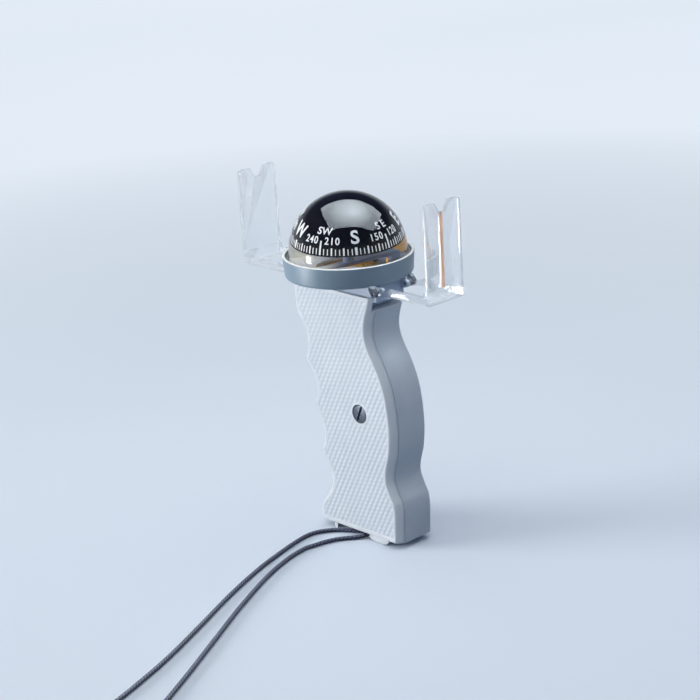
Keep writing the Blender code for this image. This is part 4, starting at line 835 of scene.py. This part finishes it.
# the hinge block between grip and band, with its knuckle ears
blockForm = metres({"halfX": 9.7, "halfY": 28.3, "bottom": 128.8, "neckHalf": 20.9, "ear": 2.0})
halfX, halfY, neckHalf, blockLow = (blockForm[key] for key in ("halfX", "halfY", "neckHalf", "bottom"))
blockTop = bottom - gap
earOutline = arc(hy, hz, knuckle, 90, -90, 14) + [(27.3 * mm, hz - 3.2 * mm), (27.3 * mm, blockTop)]
blockSteps = [bevel(0.5 * mm, 3, 50),
              join(boxMesh((-halfX, halfX), (-neckHalf, neckHalf), (bodyTop + gap, blockLow + mm)))]
blockSteps += ears([(y, min(z, blockTop)) for y, z in earOutline], (-halfX, halfX - blockForm["ear"]),
                   blockForm["ear"])
for side in (1, -1):
    blockSteps += [
        pinHole(side * hy, hz),
        cut(rodMesh("Z", 0, side * neckScrewY, bodyTop - mm, bodyTop + 8 * mm, threadR)),
        cut(rodMesh("Z", 0, side * headScrewY, 127 * mm, blockTop + mm, threadR)),
        cut(rodMesh("Z", 0, side * headScrewY, 127 * mm, blockLow + 1.9 * mm, 2.9 * mm, 32))]
blockSteps.append(cut(rodMesh("Z", 0, 0, bodyTop - mm, blockTop + mm, 6.2 * mm, 48)))
addPiece("neck_block", boxMesh((-halfX, halfX), (-halfY, halfY), (blockLow, blockTop)), "grip", "neck",
         "hinge_block", *blockSteps)
print("band and hinge block made")

# the capsule: dome filled with liquid, rings, bowl and lubber ring
domeForm = metres({"radius": 29.7, "centre": 149.3,
                   "flange": [(29.7, 145.9), (31.1, 145.9), (31.1, 144.5), (27.5, 144.5)],
                   "liquid": [(27.5, 141.1), (11.5, 141.1), (11.5, 142.15), (0, 142.15)]})
domeR, centre = domeForm["radius"], domeForm["centre"]
domeProfile = ([(0, centre + domeR)] + arc(0, centre, domeR, 90, 0, 48)[1:] + domeForm["flange"]
               + domeForm["liquid"])
addPiece("filled_dome", turnedMesh(domeProfile, 192), "grip", "clear", "clear_dome", finish="dome", angle=30)

bowlProfile = metres([(26.9, 142.9), (31.1, 142.9), (31.1, 141.5), (28.7, 141.5), (28.7, 140.2), (9, 140.2),
                      (9, 141.6)]) + arc(25.8 * mm, 142.1 * mm, 0.5 * mm, -90, 0, 5)
# the bowl takes a painted reflection of blue and a painted lit side from its finish
addPiece("painted_bowl", turnedMesh(bowlProfile, 144, True), "grip", "cream", "capsule_bowl",
         cut(rodMesh("Z", *metres((0, -17, 139.2, 142.6, 2.1)), 32)))


def ringPiece(name, low, high, inside, outside, edge, cover):
    profile = []
    for u, v, start, end in ((outside - edge, high - edge, 90, 0), (outside - edge, low + edge, 0, -90),
                             (inside + edge, low + edge, 270, 180), (inside + edge, high - edge, 180, 90)):
        profile += arc(u, v, edge, start, end, 3)
    addPiece(name, turnedMesh(profile, 160, True), "grip", "rubber", cover)


ringPiece("seal_ring", *metres((143.2, 144.2, 28.7, 30.9, 0.25)), "dome_seal")
ringPiece("hold_down_ring", *metres((146.2, 147.4, 30, 31, 0.2)), "clamp_ring")
lubber = metres({
    "profile": [(25, 145.5), (25.2, 145.7), (27, 145.7), (27.2, 145.5), (27.2, 144.5), (26, 144.5), (26, 141.9),
                (25.2, 141.9), (25.2, 144.5), (25, 144.5)],
    "post": [(-0.5, 0.5), (-26.8, -25.8), (145.1, 149.6)]})
addPiece("amber_ring", turnedMesh(lubber["profile"], 144, True), "grip", "amber", "lubber_ring",
         join(boxMesh(*lubber["post"])))
print("capsule made")

# the compass card: a black cap with white ticks, letters and numbers
cardForm = {**metres({"radius": 22.5, "wall": 0.6, "rim": 2.6, "thick": 0.10, "sink": 0.08}), "north": 57.0}
cardR, innerR = cardForm["radius"], cardForm["radius"] - cardForm["wall"]
cardThick, cardSink = cardForm["thick"], -cardForm["sink"]
rimAngle, innerAngle = (math.degrees(math.asin(cardForm["rim"] / radius)) for radius in (cardR, innerR))
cardProfile = ([(0, centre + cardR)] + arc(0, centre, cardR, 90, rimAngle, 40)[1:]
               + arc(0, centre, innerR, innerAngle, 90, 36)[:-1] + [(0, centre + innerR)])
addPiece("card_cap", turnedMesh(cardProfile, 160), "card", "card", "compass_card", angle=40)


def onCard(around, latitude, lift):
    radius = cardR + lift
    return (radius * math.cos(latitude) * math.cos(around), radius * math.cos(latitude) * math.sin(around),
            centre + radius * math.sin(latitude))


# lower and upper end of a tick in degrees of height on the card, and its width
tickForms = {
    5: (8.6, 15.6, 0.42 * mm),
    15: (8.3, 17.0, 0.72 * mm),
    45: (8.3, 24.8, 0.85 * mm),
    90: (8.3, 17.2, 1.15 * mm),
}


def tickRings(heading):
    low, high, width = tickForms[max(size for size in tickForms if heading % size == 0)]
    around = math.radians(cardForm["north"] - heading)
    rings = []
    for i in range(7):
        latitude = math.radians(low + (high - low) * i / 6)
        half = width / 2 / (cardR * math.cos(latitude))
        corners = ((-half, cardSink), (half, cardSink), (half, cardThick), (-half, cardThick))
        rings.append([onCard(around + turn, latitude, lift) for turn, lift in corners])
    return rings


ticks = skinnedMesh(*[tickRings(heading) for heading in range(0, 360, 5)])
addPiece("card_ticks", ticks, "card", "card", finish="marks", angle=None)

# height of the letters, how high they stand on the card, their spacing and the weight of their strokes
labelForms = {
    "cardinal": {"height": 6.3, "latitude": 29.8, "pitch": 0, "stretch": 1.0, "bold": 0.022},
    "between": {"height": 3.5, "latitude": 36.9, "pitch": 3.7, "stretch": 1.0, "bold": 0.018},
    "number": {"height": 3.4, "latitude": 25.4, "pitch": 2.55, "stretch": 0.92, "bold": 0.016},
}
labels = [(90 * n, name, "cardinal") for n, name in enumerate("NESW")]
labels += [(45 + 90 * n, name, "between") for n, name in enumerate(("NE", "SE", "SW", "NW"))]
labels += [(n, str(n), "number") for n in (30, 60, 120, 150, 210, 240, 300, 330)]
capHeight = 0.729    # of the built-in letters at size 1
cutStep = 0.7        # between the cuts that let a letter bend round the card, in millimetres


def letterMesh(text, look):
    curve = bpy.data.curves.new("label", "FONT")
    curve.body = text
    curve.size = look["height"] / capHeight
    curve.align_x = "CENTER"
    curve.offset = look["bold"] * curve.size
    curve.extrude = 0.5
    curve.resolution_u = 6
    holder = addObject("label", curve)
    depsgraph = bpy.context.evaluated_depsgraph_get()
    mesh = bpy.data.meshes.new_from_object(holder.evaluated_get(depsgraph))
    bpy.data.objects.remove(holder)
    bm = bmesh.new()
    bm.from_mesh(mesh)
    bmesh.ops.remove_doubles(bm, verts=bm.verts, dist=0.0005)
    for normal in (Vector((1, 0, 0)), Vector((0, 1, 0))):
        for k in range(-11, 12):
            bmesh.ops.bisect_plane(bm, geom=bm.verts[:] + bm.edges[:] + bm.faces[:],
                                   plane_co=normal * (k * cutStep), plane_no=normal)
    bmesh.ops.triangulate(bm, faces=bm.faces)
    return bm


labelMeshes = bmesh.new()
for heading, text, kind in labels:
    look = labelForms[kind]
    middle = math.radians(look["latitude"])
    around = math.radians(cardForm["north"] - heading)
    for number, letter in enumerate(text):
        bm = letterMesh(letter, look)
        shift = (number - (len(text) - 1) / 2) * look["pitch"]
        for vert in bm.verts:
            x, y, z = vert.co
            latitude = middle + (y - look["height"] / 2) * mm / cardR
            turn = (x * look["stretch"] + shift) * mm / (cardR * math.cos(middle))
            vert.co = onCard(around + turn, latitude, cardThick if z > 0 else cardSink)
        bmesh.ops.recalc_face_normals(bm, faces=bm.faces)
        holder = bpy.data.meshes.new("letter")
        bm.to_mesh(holder)
        bm.free()
        labelMeshes.from_mesh(holder)
letters = bpy.data.meshes.new("card_letters")
labelMeshes.to_mesh(letters)
labelMeshes.free()
addPiece("card_letters", letters, "card", "card", finish="marks", angle=None)
print("card marked")

# the folding sights: clear L-shaped mouldings on their own pins
sightForm = metres({"half": 12.0, "face": 35.8, "thick": 2.4, "bar": (32.2, 35.8, -0.8, 5.7), "plateLow": 4.7,
                    "plateTop": 48.3, "corner": 1.6, "notch": (5.3, 2.0, 5.2), "arm": 2.0, "edge": 0.28})
lineForm = metres({"groove": 0.97, "deep": 0.55, "half": 0.95, "thick": 0.5, "low": 5.7, "top": 42.8,
                   "cutTop": 44.1})
plateBack = sightForm["face"] - sightForm["thick"]


def plateMesh():
    half, top, r = sightForm["half"], sightForm["plateTop"], sightForm["corner"]
    wide, narrow, deep = sightForm["notch"]
    right = [(half, sightForm["plateLow"])] + arc(half - r, top - r, r, 0, 90, 8)
    right += [(wide, top), (narrow, top - deep)]
    return prismMesh(right + [(-x, z) for x, z in reversed(right)], "Y", plateBack, sightForm["face"])


armOutline = (metres([(-3, 2.5), (-3, -1.2)]) + arc(0, 0, knuckle, 215, 305, 8)
              + metres([(4, -0.8), (35.2, -0.8), (35.2, 3.4), (10, 3.4), (3, 0.9), (0.4, 2.5)]))


def makeSight(name, node, turn, *grooves):
    nearBar, farBar, lowBar, topBar = sightForm["bar"]
    half, arm = sightForm["half"], sightForm["arm"]
    steps = [join(boxMesh((-half, half), (nearBar, farBar), (lowBar, topBar)))]
    steps += [join(prismMesh(armOutline, "X", x, x + arm)) for x in (-half, half - arm)]
    steps += [bevel(sightForm["edge"], 2, 30), pinHole(0, 0, 32), *grooves]
    piece = addPiece(name, plateMesh(), node + "_leaf", "clear", node, *steps, angle=30)
    side = 1 if turn == 0 else -1
    piece.data.transform(Matrix.Translation((0, side * hy, hz)) @ Matrix.Rotation(turn, 4, "Z"))


makeSight("front_frame", "front_sight", 0)
makeSight("rear_frame", "rear_sight", math.pi,
          cut(boxMesh((-lineForm["groove"], lineForm["groove"]), (plateBack - mm, plateBack + lineForm["deep"]),
                      (lineForm["low"], lineForm["cutTop"]))))
lineFace = -(hy + plateBack)
addPiece("sighting_stripe",
         boxMesh((-lineForm["half"], lineForm["half"]), (lineFace - lineForm["thick"], lineFace),
                 (hz + lineForm["low"] + gap, hz + lineForm["top"])),
         "rear_sight_leaf", "orange", "sighting_line", bevel(0.12 * mm, 2, 40), angle=40)

pinForm = metres({"start": 8.0, "end": 14.0})
for endName, y in (("front", hy), ("rear", -hy)):
    for sideName, side in (("left", -1), ("right", 1)):
        name = "pin_%s_%s" % (endName, sideName)
        rod = rodMesh("X", y, hz, side * pinForm["start"], side * pinForm["end"], hingeForm["pin"], 32)
        addPiece(name, rod, "grip", "steel", "hinge_" + name, bevel(0.12 * mm, 2, 50), finish="screw",
                 angle=40)
print("sights made")

# the push button: a dished rubber cap on its flange and stem
buttonR, stem, buttonZ = buttonForm["radius"], buttonForm["stem"], buttonForm["z"]
frontY = gripEdge(frontKnots, buttonZ)[0]
buttonFace = frontY + buttonForm["proud"]
flangeFront = frontY - wall - 2 * gap - buttonFace
flangeBack = flangeFront - 1.2 * mm
stemEnd = 8.0 * mm + 0.3 * mm + 1.8 * mm + 3 * gap - buttonFace
buttonProfile = metres([(0, -0.25), (1.2, -0.22), (2.2, -0.10), (2.7, 0)])
buttonProfile += arc(buttonR - 0.8 * mm, -0.8 * mm, 0.8 * mm, 90, 0, 6)
buttonProfile += [(buttonR, flangeFront), (buttonForm["flange"], flangeFront), (buttonForm["flange"], flangeBack),
                  (stem, flangeBack), (stem, stemEnd), (0, stemEnd)]
buttonMesh = turnedMesh(buttonProfile, 72)
buttonMesh.transform(Matrix.Translation((0, buttonFace, buttonZ)) @ Matrix.Rotation(-math.pi / 2, 4, "X"))
addPiece("lamp_button", buttonMesh, "button", "button", "push_button")

# the spring behind the button, towards the switch plate
springForm = {**metres({"radius": 3.0, "wire": 0.29, "travel": 1.8, "clear": 0.01}), "turns": 4, "steps": 32,
              "sides": 10}
springLow, springHigh = (corner[1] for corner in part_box("button_spring"))


def springMesh(look):
    start, end = springLow + look["wire"] + look["clear"], springHigh - look["wire"] - look["clear"]
    count = look["turns"] * look["steps"]
    rings = []
    for i in range(count + 1):
        angle = 2 * math.pi * i / look["steps"]
        outward = Vector((math.cos(angle), 0, math.sin(angle)))
        middle = outward * look["radius"] + Vector((0, start + (end - start) * i / count, buttonZ))
        rings.append([middle + outward * u + Vector((0, v, 0))
                      for u, v in arc(0, 0, look["wire"], 0, 360, look["sides"])[:-1]])
    return skinnedMesh(rings)


springPiece = addPiece("press_spring", springMesh(springForm), "grip", "steel", "button_spring", angle=60)
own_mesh(springPiece)

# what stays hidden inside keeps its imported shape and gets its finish
keptNodes = {
    "steel": ("lanyard_bar", "pivot_pin", "card_magnet_left", "card_magnet_right", "neck_screw_front",
              "neck_screw_rear", "head_screw_front", "head_screw_rear", "contact_bridge"),
    "brass": ("screw_insert", "filler_plug", "diaphragm_ring", "jewel_cup", "contact_positive", "contact_negative",
              "switch_leaf"),
    "amber": ("diaphragm",), "cream": ("pivot_bridge",), "card_float": ("card_float",), "clear": ("lamp",),
    "cell": ("cell_front", "cell_rear"), "board": ("switch_plate", "lamp_holder"),
    "wire": ("lamp_wire_left", "lamp_wire_right"),
}
for finish, names in keptNodes.items():
    for name in names:
        dress(nodes[name], finish)
print("hidden parts finished")


# what is seen straight, through a clear part or in a gloss
def seenDirectly(tree):
    rays = addNode(tree, "LightPath")
    direct = mathNode(tree, "MAXIMUM", rays["Is Camera Ray"], rays["Is Transmission Ray"])
    return mathNode(tree, "MAXIMUM", direct, rays["Is Glossy Ray"])


# a pale floor that runs on to the horizon; far out it shows its plain colour
stageForm = {"radius": 14.0, "colour": (0.78, 0.85, 0.93), "shade": (0.745, 0.82, 0.91), "rough": 0.7,
             "near": 0.30, "far": 0.95, "bounce": (0.26, 0.32, 0.42)}
floor = addObject("floor", turnedMesh([(0, 0), (0.5, 0), (2.0, 0), (stageForm["radius"], 0)], 96))
material, tree, shader = newMaterial("pale_floor")
patch = rangeNode(tree, noiseNode(tree, 1.6), 0.3, 0.7)
floorColour = mixColour(tree, patch, stageForm["colour"], stageForm["shade"])
bounced = addNode(tree, "LightPath")["Is Diffuse Ray"]
feed(tree, shader, {"Base Color": mixColour(tree, bounced, floorColour, stageForm["bounce"]),
                    "Roughness": stageForm["rough"], "Specular IOR Level": 0.0})
plain = addNode(tree, "Emission", {"Color": floorColour})
length = addNode(tree, "VectorMath", {0: coordinate(tree)}, operation="LENGTH")["Value"]
distance = rangeNode(tree, length, stageForm["near"], stageForm["far"])
mixShaders(tree, times(tree, distance, seenDirectly(tree)), shader.outputs[0], plain[0])
floor.data.materials.append(material)

# a pale sky, brighter on the left where the window of the studio is
skyForm = {"near": (0.92, 0.96, 1.0), "away": (0.44, 0.63, 1.0), "bright": (-0.78, 0.55, 0.30),
           "dim": 0.10, "full": 0.55, "seen": (0.78, 0.85, 0.93), "ceiling": (0.055, 0.075, 0.16)}
world = bpy.data.worlds.new("sky")
world.use_nodes = True
scene.world = world
tree = world.node_tree
heading = coordinate(tree, "Generated")
lean = addNode(tree, "VectorMath", {0: heading, 1: skyForm["bright"]}, operation="DOT_PRODUCT")["Value"]
toward = rangeNode(tree, lean, -0.8, 0.9)
sky = feed(tree, tree.nodes["Background"], {
    "Color": mixColour(tree, toward, skyForm["away"], skyForm["near"]),
    "Strength": rangeNode(tree, toward, 0, 1, skyForm["dim"], skyForm["full"])})
above = rangeNode(tree, addNode(tree, "SeparateXYZ", {0: heading})["Z"], 0.10, 0.42)
seen = addNode(tree, "Background", {"Color": mixColour(tree, above, skyForm["seen"], skyForm["ceiling"])})
mixShaders(tree, seenDirectly(tree), sky.outputs[0], seen[0], "World Output")

# two panels light the object; the other two are only seen in gloss
overhead = {"aim": (0.162, -0.102, 0.0), "size": (1.17, 0.82), "turn": -41}
lampForms = {
    "overhead_panel": {**overhead, "place": (0.162, -0.102, 0.75), "power": 3.4, "colour": (1.0, 0.99, 0.97),
                       "seen": "diffuse"},
    "overhead_glint": {**overhead, "place": (0.162, -0.102, 0.76), "power": 76.0, "colour": (0.815, 0.915, 1.0),
                       "seen": "gloss", "hot": (0.074, -0.068, 0.76), "reach": 0.42, "edge": 0.33},
    "left_panel": {"place": (-1.60, 1.48, 0.45), "aim": (0, 0, 0.07), "size": (1.10, 0.80), "turn": 0,
                   "power": 48.0, "colour": (1.0, 0.985, 0.97), "seen": "diffuse"},
    "window_glint": {"place": (-0.349, 0.218, 0.065), "aim": (0, 0, 0.149), "size": (0.085, 0.124), "turn": 0,
                     "power": 0.8, "colour": (1.0, 1.0, 1.0), "seen": "gloss"},
}


# a panel that is brightest near one spot, as a lamp behind cloth is
def softenPanel(lamp, look):
    lamp.use_nodes = True
    tree = lamp.node_tree
    place = addNode(tree, "NewGeometry")["Position"]
    away = addNode(tree, "VectorMath", {0: place, 1: look["hot"]}, operation="DISTANCE")["Value"]
    glow = rangeNode(tree, away, 0.0, look["reach"], 1.0, look["edge"])
    feed(tree, tree.nodes["Emission"], {"Strength": glow})


for name, look in lampForms.items():
    lamp = bpy.data.lights.new(name, "AREA")
    lamp.shape = "RECTANGLE"
    lamp.size, lamp.size_y = look["size"]
    lamp.energy, lamp.color = look["power"], look["colour"]
    if "hot" in look:
        softenPanel(lamp, look)
    panel = addObject(name, lamp)
    turn = (Vector(look["aim"]) - Vector(look["place"])).to_track_quat("-Z", "Y").to_matrix().to_4x4()
    spin = Matrix.Rotation(math.radians(look["turn"]), 4, "Z")
    panel.matrix_world = Matrix.Translation(look["place"]) @ turn @ spin
    panel.visible_camera = panel.visible_transmission = False
    panel.visible_diffuse = look["seen"] != "gloss"
    panel.visible_glossy = look["seen"] != "diffuse"
print("stage and lamps set")
